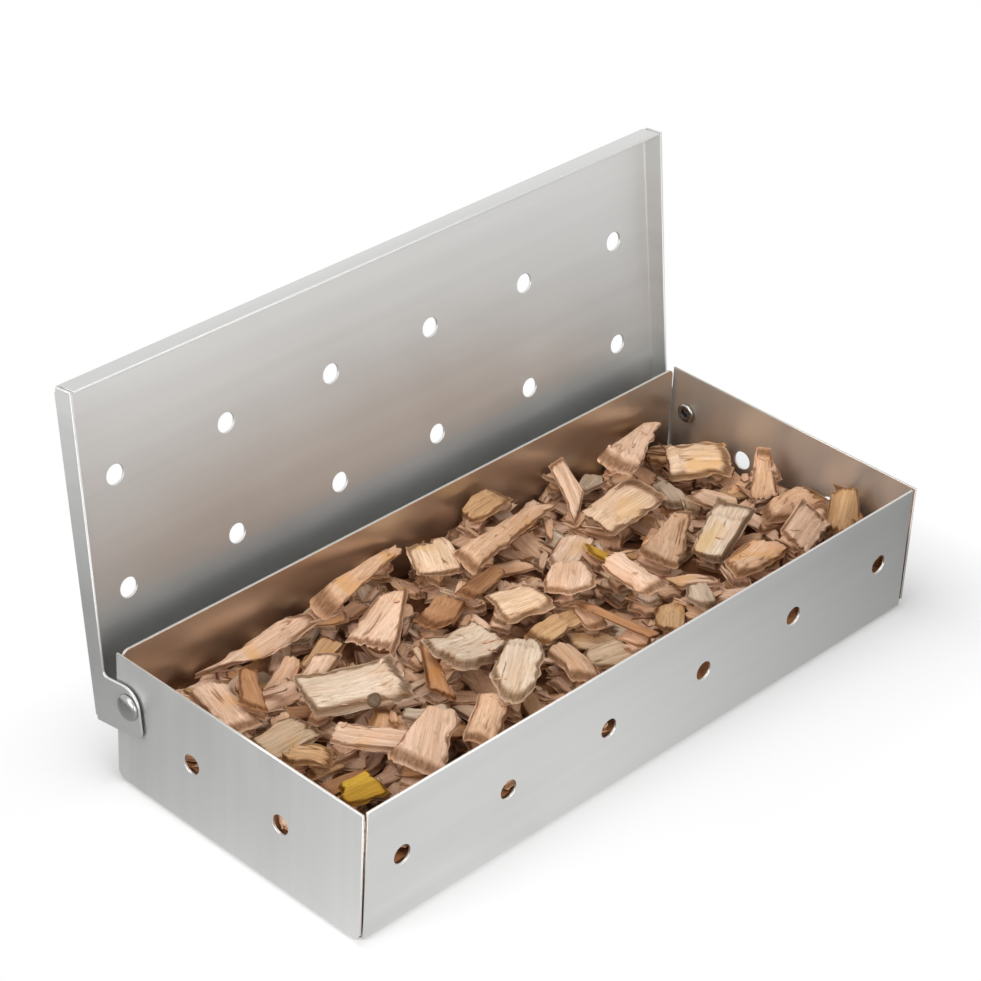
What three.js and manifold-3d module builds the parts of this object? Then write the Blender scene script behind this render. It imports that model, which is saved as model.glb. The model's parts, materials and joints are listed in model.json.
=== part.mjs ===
// Grill smoker box: a folded sheet steel tray full of wood chips, under a lid on two rivets.
// Lengths are millimetres and +Z is up. The origin is the middle of the tray's underside.
// The long side runs along X, the front faces -Y, and the lid stands open behind the tray.

import * as THREE from 'three';
import { mergeVertices } from 'three/addons/utils/BufferGeometryUtils.js';
import { ConvexGeometry } from 'three/addons/geometries/ConvexGeometry.js';
import Module from 'manifold-3d';

// Sheet steel, shared by the tray and the lid
const sheet = 0.8;
const bend_radius = 0.5;
const overrun = 4;
const fit_gap = 0.3;

// Tray
const tray_length = 230;
const tray_width = 96;
const tray_height = 42.4;
const seam_rim_gap = 0.6;
const relief_width = 2.6;
const relief_height = 2.7;
const back_corner_radius = 2;

// Smoke vents
const vent_diameter = 6;
const vent_pitch = 40;
const vent_height = 21.8;
const long_vent_count = 6;
const end_vent_count = 2;
const end_vent_pitch = 35;

// Hinge line, measured from the back wall and from the rim
const hinge_inset = 6.9;
const hinge_drop = 13.6;
const lean_degrees = 7.9;
const swing_clearance = 0.35;

// Lid
const lid_side_gap = 0.7;
const lid_front_gap = 1.9;
const lid_rear_gap = 1.9;
const front_flange = 7.5;
const side_flange_rear = 6.3;
const lid_row_inset = 32.4;
const lid_row_pitch = 34.7;
const lid_row_count = 2;
const ear_reach = 6;
const ear_drop = 3.8;
const ear_round = 6;
const ear_corner = 3;
const ear_fillet = 1.6;

// Rivets
const shank_diameter = 4;
const pivot_clearance = 0.3;
const head_diameter = 7.8;
const head_height = 1.7;
const head_rim = 0.5;
const roll_diameter = 6.2;
const roll_height = 1.1;
const roll_bore = 2.4;
const bore_depth = 2.6;

// Wood chips
const chip_length = 30;
const chip_width = 16;
const chip_thickness = 3.4;
const bed_drop = 18.4;
const bank_sink = 4;
const bed_ripple = 2.4;
const lump_turn_degrees = 180;
const lump_rise_degrees = 24;
const lump_lean_degrees = 28;
const post_pitch = 2.5;
const wall_gap = 0.6;

// Smoothness, in steps
const bend_steps = 4;
const hole_steps = 24;
const lathe_steps = 28;
const dome_steps = 6;

// Sizes that follow from those above
const tray_half = tray_length / 2;
const width_half = tray_width / 2;
const fold = sheet + bend_radius;
const inner_half = tray_half - sheet;
const inner_width_half = width_half - sheet;
const hinge_y = width_half - hinge_inset;
const hinge_z = tray_height - hinge_drop;
const bed_depth = tray_height - bed_drop;
const lid_inside = Math.hypot(hinge_inset, hinge_drop) + swing_clearance;
const lid_outside = lid_inside + sheet;
const lid_half = tray_half + lid_side_gap + sheet;
const lid_front = hinge_y + width_half + lid_front_gap + sheet;
const lid_rear = hinge_inset + lid_rear_gap + sheet;

const wasm = await Module();
wasm.setup();

const sheet_steel = { color: 0xc8c8c6, roughness: 0.34, metalness: 1 };
const rivet_steel = { color: 0xd2d2d0, roughness: 0.22, metalness: 1 };

// A closed three.js geometry as a solid that can be joined and cut
function solidOf(geometry) {
  const bare = geometry.clone();
  bare.deleteAttribute('normal');
  bare.deleteAttribute('uv');
  const merged = mergeVertices(bare);
  const vertProperties = new Float32Array(merged.attributes.position.array);
  const triVerts = new Uint32Array(merged.index.array);
  return new wasm.Manifold(new wasm.Mesh({ numProp: 3, vertProperties, triVerts }));
}

function geometryOf(solid) {
  const { vertProperties, triVerts } = solid.getMesh();
  const geometry = new THREE.BufferGeometry();
  geometry.setAttribute('position', new THREE.BufferAttribute(vertProperties, 3));
  geometry.setIndex(new THREE.BufferAttribute(triVerts, 1));
  return geometry;
}

const join = (solids) => solids.reduce((whole, piece) => whole.add(piece));
const cut = (body, tools) => tools.reduce((whole, tool) => whole.subtract(tool), body);

// Axes of a drawing: where its first, second and extruded direction point
const side_view = [[0, 1, 0], [0, 0, 1], [1, 0, 0]];
const side_view_down = [[0, 1, 0], [0, 0, -1], [-1, 0, 0]];
const front_view = [[1, 0, 0], [0, 0, 1], [0, -1, 0]];
const front_view_down = [[1, 0, 0], [0, 0, -1], [0, 1, 0]];

// A drawing made solid, evenly to both sides of the middle, then moved to where it belongs
function plate(drawing, thickness, view, middle = [0, 0, 0]) {
  const settings = { depth: thickness, bevelEnabled: false, curveSegments: bend_steps };
  const geometry = new THREE.ExtrudeGeometry(drawing, settings);
  geometry.translate(0, 0, -thickness / 2);
  const axes = view.map((direction) => new THREE.Vector3(...direction));
  geometry.applyMatrix4(new THREE.Matrix4().makeBasis(...axes).setPosition(...middle));
  return solidOf(geometry);
}

// The bent section of a sheet: a flat bottom from low to high, with a leg at each end
function bentSection(low, high, low_leg, high_leg) {
  const quarter = Math.PI / 2;
  const section = new THREE.Shape();
  section.moveTo(low, low_leg);
  section.lineTo(low, fold);
  section.absarc(low + fold, fold, fold, 2 * quarter, 3 * quarter, false);
  section.absarc(high - fold, fold, fold, 3 * quarter, 4 * quarter, false);
  section.lineTo(high, high_leg);
  section.lineTo(high - sheet, high_leg);
  section.absarc(high - fold, fold, bend_radius, 4 * quarter, 3 * quarter, true);
  section.absarc(low + fold, fold, bend_radius, 3 * quarter, 2 * quarter, true);
  section.lineTo(low + sheet, low_leg);
  section.closePath();
  return section;
}

function rectangle(left, right, bottom, top) {
  const drawing = new THREE.Shape();
  drawing.moveTo(left, bottom);
  drawing.lineTo(right, bottom);
  drawing.lineTo(right, top);
  drawing.lineTo(left, top);
  drawing.closePath();
  return drawing;
}

// A round cutter of a given length along X, Y or Z
function drill(diameter, length, axis, middle) {
  const radius = diameter / 2;
  const geometry = new THREE.CylinderGeometry(radius, radius, length, hole_steps);
  if (axis === 'x') geometry.rotateZ(Math.PI / 2);
  if (axis === 'z') geometry.rotateX(Math.PI / 2);
  geometry.translate(...middle);
  return solidOf(geometry);
}

// Places in an even row about zero
function row(count, pitch) {
  return Array.from({ length: count }, (_, i) => (i - (count - 1) / 2) * pitch);
}

const corners = [[-1, -1], [1, -1], [-1, 1], [1, 1]];

// The clipped lower corner, where four folds would otherwise run into each other
function cornerRelief([side, end]) {
  const reach = (size) => size + overrun + (overrun * size) / relief_height;
  const points = [[-overrun, -overrun, -overrun]];
  points.push([reach(relief_width), -overrun, -overrun]);
  points.push([-overrun, reach(relief_width), -overrun]);
  points.push([-overrun, -overrun, relief_height + (2 * overrun * relief_height) / relief_width]);
  const place = ([u, v, z]) => new THREE.Vector3(side * (tray_half - u), end * (width_half - v), z);
  return solidOf(new ConvexGeometry(points.map(place)));
}

// The long walls stop short of the end walls, and the slit opens a little towards the rim
function seamWedge([side, end]) {
  const wall_end = side * (tray_half - fold);
  const drawing = new THREE.Shape();
  drawing.moveTo(wall_end, fold);
  drawing.lineTo(wall_end - side * seam_rim_gap, tray_height);
  drawing.lineTo(wall_end - side * seam_rim_gap, tray_height + overrun);
  drawing.lineTo(wall_end + side * fit_gap, tray_height + overrun);
  drawing.lineTo(wall_end + side * fit_gap, fold);
  drawing.closePath();
  return plate(drawing, 2 * fold, front_view, [0, end * width_half, 0]);
}

// The back wall's two upper corners are rounded
function cornerRound(side) {
  const tip = tray_half - fold - seam_rim_gap;
  const middle = tip - back_corner_radius;
  const top = tray_height - back_corner_radius;
  const drawing = new THREE.Shape();
  drawing.moveTo(side * (tray_half - sheet), top);
  drawing.lineTo(side * (tray_half - sheet), tray_height + overrun);
  drawing.lineTo(side * middle, tray_height + overrun);
  const [start, stop] = side > 0 ? [Math.PI / 2, 0] : [Math.PI / 2, Math.PI];
  drawing.absarc(side * middle, top, back_corner_radius, start, stop, side > 0);
  drawing.closePath();
  return plate(drawing, 2 * fold, front_view, [0, width_half, 0]);
}

function makeTray() {
  const long_section = bentSection(-width_half, width_half, tray_height, tray_height);
  const end_section = bentSection(-tray_half, tray_half, tray_height, tray_height);
  const end_wall = rectangle(-width_half, width_half, fold, tray_height);
  const folded = join([
    plate(long_section, tray_length - 2 * fold, side_view),
    plate(end_section, tray_width - 2 * fold, front_view),
    plate(end_wall, sheet, side_view, [-(tray_half - sheet / 2), 0, 0]),
    plate(end_wall, sheet, side_view, [tray_half - sheet / 2, 0, 0]),
  ]);
  const across = tray_width + overrun;
  const along = tray_length + overrun;
  const long_row = row(long_vent_count, vent_pitch);
  const end_row = row(end_vent_count, end_vent_pitch);
  const rivet_hole = shank_diameter + 2 * pivot_clearance;
  return cut(folded, [
    ...corners.map(seamWedge),
    ...corners.map(cornerRelief),
    cornerRound(-1),
    cornerRound(1),
    ...long_row.map((x) => drill(vent_diameter, across, 'y', [x, 0, vent_height])),
    ...end_row.map((y) => drill(vent_diameter, along, 'x', [0, y, vent_height])),
    drill(rivet_hole, along, 'x', [0, hinge_y, hinge_z]),
  ]);
}

// One side of the lid, drawn with the hinge line at zero and the plate above: the flange
// gets shallower towards the back, where it widens into the ear that carries the rivet.
function lidSide() {
  const flange_top = lid_outside - fold;
  const front_rim = lid_outside - front_flange;
  const rear_rim = lid_outside - side_flange_rear;
  const quarter = Math.PI / 2;
  const side = new THREE.Shape();
  side.moveTo(-lid_front, flange_top);
  side.lineTo(-lid_front, front_rim);
  side.lineTo(-(ear_reach + ear_fillet), rear_rim);
  side.absarc(-(ear_reach + ear_fillet), rear_rim - ear_fillet, ear_fillet, quarter, 0, true);
  side.absarc(ear_round - ear_reach, ear_round - ear_drop, ear_round, 2 * quarter, 3 * quarter, false);
  side.absarc(lid_rear - ear_corner, ear_corner - ear_drop, ear_corner, 3 * quarter, 4 * quarter, false);
  side.lineTo(lid_rear, flange_top);
  side.closePath();
  return side;
}

// The lid lies closed and level here, with the hinge line at zero
function makeLid() {
  const rise = lid_outside;
  const lean = THREE.MathUtils.degToRad(lean_degrees);
  const wall_reach = hinge_inset + fit_gap + (lid_rear - sheet) * Math.sin(lean);
  const rear_flange = rise - wall_reach / Math.cos(lean);
  const long_section = bentSection(-lid_front, lid_rear, front_flange, rear_flange);
  const end_section = bentSection(-lid_half, lid_half, side_flange_rear, side_flange_rear);
  const depth = lid_front + lid_rear;
  const middle = (lid_rear - lid_front) / 2;
  const folded = join([
    plate(long_section, 2 * (lid_half - fold), side_view_down, [0, 0, rise]),
    plate(end_section, depth - 2 * fold, front_view_down, [0, middle, rise]),
    plate(lidSide(), sheet, side_view, [-(lid_half - sheet / 2), 0, 0]),
    plate(lidSide(), sheet, side_view, [lid_half - sheet / 2, 0, 0]),
  ]);
  const row_place = (_, i) => lid_row_inset + i * lid_row_pitch - lid_front;
  const rows = Array.from({ length: lid_row_count }, row_place);
  const places = rows.flatMap((y) => row(long_vent_count, vent_pitch).map((x) => [x, y, rise]));
  const rivet_hole = shank_diameter + 2 * pivot_clearance;
  return cut(folded, [
    ...places.map((place) => drill(vent_diameter, overrun, 'z', place)),
    drill(rivet_hole, 2 * lid_half + overrun, 'x', [0, 0, 0]),
  ]);
}

// Half of a rivet's outline, from the dome to the hollow end rolled over inside the tray.
// The outline is turned about its own axis, and zero is the outer face of the lid's ear.
function rivetOutline() {
  const radius = head_diameter / 2;
  const dome = head_height - head_rim;
  const grip = sheet + lid_side_gap + sheet + fit_gap;
  const roll = roll_diameter / 2;
  const roll_middle = -(grip + roll_height / 2);
  const points = [];
  for (let i = 0; i <= dome_steps; i += 1) {
    const angle = (i / dome_steps) * (Math.PI / 2);
    const height = fit_gap + head_rim + dome * Math.cos(angle);
    points.push(new THREE.Vector2(radius * Math.sin(angle), height));
  }
  points.push(new THREE.Vector2(radius, fit_gap));
  points.push(new THREE.Vector2(shank_diameter / 2, fit_gap));
  points.push(new THREE.Vector2(shank_diameter / 2, -grip));
  const lip = (roll - roll_bore / 2) / 2;
  for (let i = 0; i <= dome_steps; i += 1) {
    const angle = Math.PI / 2 - (i / dome_steps) * Math.PI;
    const out = roll - lip + lip * Math.cos(angle);
    points.push(new THREE.Vector2(out, roll_middle + (roll_height / 2) * Math.sin(angle)));
  }
  points.push(new THREE.Vector2(roll_bore / 2, roll_middle));
  points.push(new THREE.Vector2(roll_bore / 2, bore_depth - grip - roll_height));
  points.push(new THREE.Vector2(0, bore_depth - grip - roll_height));
  return points;
}

function makeRivet(side) {
  const geometry = new THREE.LatheGeometry(rivetOutline().reverse(), lathe_steps);
  geometry.rotateZ((-side * Math.PI) / 2);
  return solidOf(geometry);
}

// An even spread of numbers from 0 to 1 that is the same each time
function scatter(seed) {
  const wave = Math.sin(seed * 12.9898 + 4.1414) * 43758.5453;
  return wave - Math.floor(wave);
}

// The outlines of the chips seen from above, along and across the grain
const outline_shares = {
  slab: [[-0.5, -0.38], [0.46, -0.5], [0.5, 0.4], [-0.44, 0.5]],
  wedge: [[-0.5, -0.5], [0.5, -0.2], [0.44, 0.26], [-0.42, 0.5]],
  shard: [[-0.5, 0.06], [-0.1, -0.5], [0.5, -0.16], [0.3, 0.5]],
  split: [[-0.5, -0.2], [-0.2, -0.5], [0.5, -0.4], [0.4, 0.5], [-0.36, 0.44]],
  round: [[-0.5, -0.2], [-0.3, -0.5], [0.3, -0.46], [0.5, -0.1], [0.4, 0.44], [-0.16, 0.5], [-0.46, 0.22]],
};

// How far corners stray from an outline, and how the upper face shrinks and slides along the grain
const outline_spread_share = 0.14;
const upper_face_share = 0.84;
const slide_share = 0.12;
const thickness_spread_share = 0.5;

// The corner points of one chip about its own middle, with the grain along its length
function chipPoints(kind, length, width, thickness, seed) {
  const slide = (scatter(seed + 0.5) - 0.5) * 2 * slide_share * length;
  return outline_shares[kind].flatMap(([along, across], i) => {
    const u = (along + (scatter(seed + i * 1.7) - 0.5) * outline_spread_share) * length;
    const v = (across + (scatter(seed + i * 2.3 + 9) - 0.5) * outline_spread_share) * width;
    const lower = new THREE.Vector3(u, v, -thickness / 2);
    const upper = new THREE.Vector3(u * upper_face_share + slide, v * upper_face_share, thickness / 2);
    return [lower, upper];
  });
}

function turned(points, turn, rise, lean) {
  const [z, y, x] = [turn, -rise, lean].map(THREE.MathUtils.degToRad);
  const rotation = new THREE.Euler(x, y, z, 'ZYX');
  return points.map((point) => point.clone().applyEuler(rotation));
}

function boundsOf(points) {
  return new THREE.Box3().setFromPoints(points);
}

// Keeps a turned chip inside the walls, by the reach of its own corners
function insideWalls(points, x, y) {
  const box = boundsOf(points);
  const low_x = -inner_half + wall_gap - box.min.x;
  const high_x = inner_half - wall_gap - box.max.x;
  const low_y = -inner_width_half + wall_gap - box.min.y;
  const high_y = inner_width_half - wall_gap - box.max.y;
  return [
    THREE.MathUtils.clamp(x, low_x, Math.max(low_x, high_x)),
    THREE.MathUtils.clamp(y, low_y, Math.max(low_y, high_y)),
  ];
}

// How deep the lower chips lie: level on the left, falling a little to the right end and more
// into the back right corner. The seed steps make each cell and each lump differ from the next.
const right_fall_share = 0.08;
const corner_fall_share = 0.26;
const bed_column_count = 12;
const bed_row_count = 5;
const lump_column_count = 17;
const lump_row_count = 7;
const lump_jitter_share = 0.7;
const lump_length_shares = [0.5, 0.32];
const lump_width_shares = [0.5, 0.3];
const lump_sink_shares = [0.35, 0.5];
const lump_foot = 2 * sheet;
const cell_seed_steps = [7, 3];
const lump_seed_steps = [5.3, 17.9];
const lump_kinds = ['split', 'wedge', 'slab', 'shard', 'split'];
function bedHeight(x, y) {
  const right = THREE.MathUtils.smoothstep(x / inner_half, 0.2, 1);
  const back = THREE.MathUtils.smoothstep(y / inner_width_half, -0.4, 0.8);
  return bed_depth * (1 - right * (right_fall_share + corner_fall_share * back));
}

// The heap's surface, kept as heights on a grid of posts over the tray's floor
const post_columns = Math.ceil((2 * inner_half) / post_pitch);
const post_rows = Math.ceil((2 * inner_width_half) / post_pitch);
const surface = new Float64Array(post_columns * post_rows);
const postX = (i) => -inner_half + (i + 0.5) * post_pitch;
const postY = (j) => -inner_width_half + (j + 0.5) * post_pitch;

// Calls back with each post under a box, and how far a convex piece reaches down and up there
function overPosts(points, x, y, visit) {
  const hull = new ConvexGeometry(points);
  const corner = hull.attributes.position;
  const facing = hull.attributes.normal;
  const box = boundsOf(points);
  const first_i = Math.max(0, Math.floor((x + box.min.x + inner_half) / post_pitch));
  const last_i = Math.min(post_columns - 1, Math.floor((x + box.max.x + inner_half) / post_pitch));
  const first_j = Math.max(0, Math.floor((y + box.min.y + inner_width_half) / post_pitch));
  const last_j = Math.min(post_rows - 1, Math.floor((y + box.max.y + inner_width_half) / post_pitch));
  for (let i = first_i; i <= last_i; i += 1) {
    for (let j = first_j; j <= last_j; j += 1) {
      const [u, v] = [postX(i) - x, postY(j) - y];
      let [low, high] = [box.min.z, box.max.z];
      for (let k = 0; k < corner.count; k += 3) {
        const slope = facing.getZ(k);
        const across = facing.getX(k) * (corner.getX(k) - u) + facing.getY(k) * (corner.getY(k) - v);
        const height = corner.getZ(k) + across / slope;
        if (slope > 0) high = Math.min(high, height);
        else if (slope < 0) low = Math.max(low, height);
        else if (across < 0) high = low;
      }
      if (low < high) visit(i * post_rows + j, low, high);
    }
  }
}

function raiseSurface(points, x, y, z) {
  overPosts(points, x, y, (post, low, high) => {
    surface[post] = Math.max(surface[post], z + high);
  });
}

// The chips lower down, as one body: the tops of chips that lie close together on a rippled bank,
// clear of the rivets' rolled ends
function makeBed() {
  const length = 2 * (inner_half - wall_gap);
  const width = 2 * (inner_width_half - wall_gap);
  const bank = new THREE.BoxGeometry(length, width, bed_depth, bed_column_count, bed_row_count, 1);
  const place = bank.attributes.position;
  for (let i = 0; i < place.count; i += 1) {
    const [x, y] = [place.getX(i), place.getY(i)];
    const column = Math.round((x / length) * bed_column_count);
    const line = Math.round((y / width) * bed_row_count);
    const ripple = scatter(column * cell_seed_steps[0] + line * cell_seed_steps[1]) * bed_ripple;
    const upper = place.getZ(i) > 0;
    place.setZ(i, upper ? bedHeight(x, y) - bank_sink - ripple : sheet + fit_gap);
  }
  for (let i = 0; i < post_columns; i += 1) {
    for (let j = 0; j < post_rows; j += 1) {
      surface[i * post_rows + j] = bedHeight(postX(i), postY(j)) - bank_sink;
    }
  }
  const lumps = [];
  const column_pitch = length / lump_column_count;
  const row_pitch = width / lump_row_count;
  for (const [i, across] of row(lump_column_count, column_pitch).entries()) {
    for (const [j, deep] of row(lump_row_count, row_pitch).entries()) {
      const seed = i * lump_seed_steps[0] + j * lump_seed_steps[1];
      const spread = (shares, step) => shares[0] + shares[1] * scatter(seed + step);
      const astray = (step) => (scatter(seed + step) - 0.5) * lump_jitter_share;
      const long = chip_length * spread(lump_length_shares, 4);
      const wide = chip_width * spread(lump_width_shares, 5);
      const kind = lump_kinds[Math.floor(scatter(seed + 6) * lump_kinds.length)];
      const points = chipPoints(kind, long, wide, chip_thickness, seed);
      const turn = scatter(seed + 1) * lump_turn_degrees;
      const rise = (scatter(seed + 2) - 0.5) * lump_rise_degrees;
      const lean = (scatter(seed + 3) - 0.5) * lump_lean_degrees;
      const lying = turned(points, turn, rise, lean);
      const [x, y] = insideWalls(lying, across + astray(7) * column_pitch, deep + astray(8) * row_pitch);
      const z = bedHeight(x, y) - spread(lump_sink_shares, 9) * chip_thickness;
      raiseSurface(lying, x, y, z);
      const middle = new THREE.Vector3(x, y, z);
      const upper = lying.map((point) => point.clone().add(middle));
      const lower = upper.map((point) => new THREE.Vector3(point.x, point.y, lump_foot));
      lumps.push(solidOf(new ConvexGeometry([...upper, ...lower])));
    }
  }
  const pocket = roll_diameter + 2 * wall_gap;
  const reach = 2 * (fit_gap + roll_height + wall_gap);
  const pockets = [-1, 1].map((side) => drill(pocket, reach, 'x', [side * inner_half, hinge_y, hinge_z]));
  return cut(join([solidOf(bank), ...lumps]), pockets);
}

// The chips that show, lowest first. Each has its place as shares of half the tray's inner
// length and width, its length, width and thickness as shares of a usual chip, its turn, the rise
// of its long end and its lean in degrees, its outline and its tone of wood.
const chip_shares = [
  [-0.8, 0.11, 0.67, 0.88, 0.8, 10, 6, 10, 'slab', 'grey'],
  [-0.84, -0.17, 0.53, 0.62, 1, -60, 8, 14, 'split', 'gold'],
  [-0.83, -0.42, 0.6, 0.62, 0.8, -10, 4, 12, 'wedge', 'brown'],
  [-0.61, -0.25, 0.67, 0.88, 1, 40, 8, 10, 'slab', 'tan'],
  [-0.37, -0.04, 1.13, 0.5, 0.9, 55, 10, 26, 'wedge', 'brown'],
  [-0.19, 0.36, 0.67, 0.75, 1, 20, 5, 12, 'split', 'brown'],
  [-0.51, 0.55, 0.6, 0.62, 1.2, 25, 8, -14, 'slab', 'gold'],
  [-0.58, 0.42, 0.6, 0.62, 0.8, 5, 8, 16, 'shard', 'rose'],
  [-0.02, 0.38, 0.87, 0.5, 1, 12, 6, 12, 'wedge', 'brown'],
  [-0.01, -0.25, 0.8, 0.69, 1.3, 5, 6, 16, 'slab', 'gold'],
  [0.01, -0.59, 0.63, 0.81, 1, -12, 8, 10, 'split', 'grey'],
  [-0.51, -0.53, 0.53, 0.62, 1, -40, 5, 14, 'wedge', 'brown'],
  [0.26, 0.3, 0.67, 0.75, 0.7, 20, 8, 12, 'split', 'rose'],
  [0.15, 0.76, 0.87, 0.69, 1, 3, 5, 16, 'slab', 'tan'],
  [0.72, 0.42, 0.6, 0.62, 1, 70, 6, 18, 'wedge', 'cream'],
  [0.24, -0.61, 0.6, 0.69, 1.2, 40, 8, 20, 'split', 'gold'],
  [0.44, -0.7, 0.6, 0.5, 1, -20, 4, 14, 'slab', 'rose'],
  [0.96, -0.64, 0.6, 0.6, 0.5, 80, 50, 24, 'slab', 'gold'],
  [0.9, 0.74, 0.73, 0.75, 1, -28, 10, 16, 'split', 'gold'],
  [-0.86, 0.47, 0.87, 0.88, 1, 75, 10, 16, 'slab', 'rose'],
  [-0.77, 0.49, 0.87, 0.62, 0.7, 52, 12, 34, 'wedge', 'brown'],
  [-0.61, 0.83, 1.67, 0.81, 1.3, -2, 8, 18, 'shard', 'rose'],
  [-0.28, 0.88, 1.5, 0.66, 1.5, 12, 14, 16, 'wedge', 'tan'],
  [-0.33, 0.51, 1.2, 1.12, 0.8, 32, 6, 10, 'wedge', 'rose'],
  [-0.05, 0.74, 0.7, 1.12, 1, 67, 5, 12, 'slab', 'honey'],
  [-0.6, 0.06, 1.04, 1.25, 1.8, -20, 4, 26, 'slab', 'cream'],
  [-0.28, -0.11, 0.8, 1.25, 1.7, 8, -6, 22, 'slab', 'cream'],
  [-0.7, -0.38, 0.83, 0.69, 1, -48, 8, 12, 'slab', 'rose'],
  [-0.83, -0.57, 0.5, 0.6, 1, -12, 20, 36, 'split', 'yellow'],
  [-0.64, -0.64, 1, 1.12, 1, 25, 6, 10, 'wedge', 'rose'],
  [-0.53, -0.36, 0.5, 0.5, 1, -40, 8, 18, 'split', 'cream'],
  [-0.44, -0.64, 0.87, 0.81, 1.3, 35, 6, 10, 'slab', 'tan'],
  [-0.28, -0.51, 1, 0.94, 0.9, 33, 22, 12, 'round', 'cream'],
  [-0.12, -0.61, 0.63, 0.81, 1.2, 75, 8, 14, 'split', 'tan'],
  [-0.04, 0.02, 0.66, 1.06, 1.1, -5, -6, 12, 'slab', 'honey'],
  [0.13, 0, 0.77, 1.06, 0.9, 25, 5, 10, 'round', 'rose'],
  [0.15, 0.59, 1.87, 0.75, 1, 14, 5, 16, 'wedge', 'tan'],
  [0.2, 0.89, 0.6, 0.78, 1.2, 0, 8, 12, 'round', 'gold'],
  [0.08, -0.47, 1, 0.31, 0.8, 98, 6, 20, 'slab', 'brown'],
  [0.46, 0.78, 1, 0.56, 0.7, 56, 34, 24, 'shard', 'rose'],
  [0.51, 0.38, 1, 1.19, 1.3, 8, 5, 20, 'slab', 'honey'],
  [0.73, 0.76, 1.27, 0.88, 1.4, 24, 12, 12, 'wedge', 'rose'],
  [0.88, 0.51, 0.73, 1.06, 1.7, -30, 8, 26, 'slab', 'honey'],
  [0.74, 0.11, 0.63, 0.56, 1, -58, 8, 16, 'split', 'rose'],
  [0.49, -0.08, 1, 0.88, 1.3, 25, 6, 14, 'wedge', 'tan'],
  [0.24, -0.28, 0.67, 0.75, 1.2, -85, 6, 12, 'slab', 'rose'],
  [0.31, 0, 0.8, 0.44, 0.6, 100, 10, 30, 'shard', 'yellow'],
  [0.38, -0.47, 0.7, 0.5, 0.6, -52, 8, 20, 'shard', 'rose'],
  [0.32, -0.68, 0.43, 0.56, 1.7, 45, 8, 16, 'round', 'cream'],
  [0.63, -0.21, 1, 0.81, 1.5, 24, 26, 20, 'slab', 'cream'],
  [0.58, -0.57, 0.8, 0.81, 1.3, 5, 5, 12, 'split', 'tan'],
  [0.77, -0.61, 0.8, 0.81, 1.3, 25, 7, 14, 'slab', 'rose'],
  [0.87, -0.27, 0.8, 0.75, 1.4, -5, 18, 22, 'split', 'tan'],
  [0.91, 0.02, 0.62, 0.62, 0.8, 42, 64, 18, 'wedge', 'tan'],
];

const wood_tones = {
  cream: 0xe6cfae,
  honey: 0xd9b586,
  rose: 0xcaa386,
  tan: 0xc29670,
  gold: 0xb8884c,
  yellow: 0xd2a63c,
  brown: 0x9a7150,
  grey: 0x9b8a72,
};

// The ways a chip may tip, in degrees, as it finds its lowest lie among its neighbours
const tips = [-18, -12, -6, 0, 6, 12, 18];

// How high a chip's middle comes to rest on the heap's surface
function restingHeight(points, x, y) {
  let height = sheet + fit_gap - boundsOf(points).min.z;
  overPosts(points, x, y, (post, low) => {
    height = Math.max(height, surface[post] - low);
  });
  return height;
}

// Tips a chip until it lies as low as it can, then lifts it clear of every chip it touches
function settle(points, chip, placed) {
  const [across, deep, , , , turn, rise, lean] = chip;
  let best = null;
  for (const more_rise of tips) {
    for (const more_lean of tips) {
      const lying = turned(points, turn, rise + more_rise, lean + more_lean);
      const [x, y] = insideWalls(lying, across * inner_half, deep * inner_width_half);
      const z = restingHeight(lying, x, y);
      const top = z + boundsOf(lying).max.z;
      if (!best || top < best.top) best = { lying, x, y, z, top };
    }
  }
  const { lying, x, y } = best;
  let { z } = best;
  for (;;) {
    const middle = new THREE.Vector3(x, y, z + fit_gap);
    const resting = lying.map((point) => point.clone().add(middle));
    const solid = solidOf(new ConvexGeometry(resting));
    const box = boundsOf(resting);
    const near = placed.filter((other) => other.box.intersectsBox(box));
    if (near.every((other) => other.solid.intersect(solid).isEmpty())) {
      raiseSurface(lying, x, y, middle.z);
      return { solid, box };
    }
    z += fit_gap;
  }
}

const smoker_box = new THREE.Group();

function addPiece(name, geometry, finish, parent = smoker_box) {
  const mesh = new THREE.Mesh(geometry, new THREE.MeshStandardMaterial(finish));
  mesh.name = name;
  parent.add(mesh);
  return mesh;
}

addPiece('tray', geometryOf(makeTray()), sheet_steel);

const hinge = new THREE.Group();
hinge.position.set(0, hinge_y, hinge_z);
hinge.rotation.x = -Math.PI / 2 - THREE.MathUtils.degToRad(lean_degrees);
smoker_box.add(hinge);
addPiece('lid', geometryOf(makeLid()), sheet_steel, hinge);

for (const [name, side] of [['rivet_left', -1], ['rivet_right', 1]]) {
  const rivet = addPiece(name, geometryOf(makeRivet(side)), rivet_steel);
  rivet.position.set(side * lid_half, hinge_y, hinge_z);
}

const bed = makeBed();
const bed_geometry = geometryOf(bed);
addPiece('wood_chip_bed', bed_geometry, { color: wood_tones.brown, roughness: 0.9, metalness: 0 });

const bed_box = new THREE.Box3().setFromBufferAttribute(bed_geometry.attributes.position);
const placed = [{ solid: bed, box: bed_box }];
chip_shares.forEach((chip, i) => {
  const [, , long, wide, thick, , , , kind, tone] = chip;
  const thickness = chip_thickness * (thick + (scatter(i + 0.3) - 0.5) * thickness_spread_share);
  const points = chipPoints(kind, chip_length * long, chip_width * wide, thickness, i * 3.1);
  const resting = settle(points, chip, placed);
  placed.push(resting);
  const name = `wood_chip_${String(i + 1).padStart(2, '0')}`;
  addPiece(name, geometryOf(resting.solid), { color: wood_tones[tone], roughness: 0.85, metalness: 0 });
});

export default smoker_box;
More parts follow.
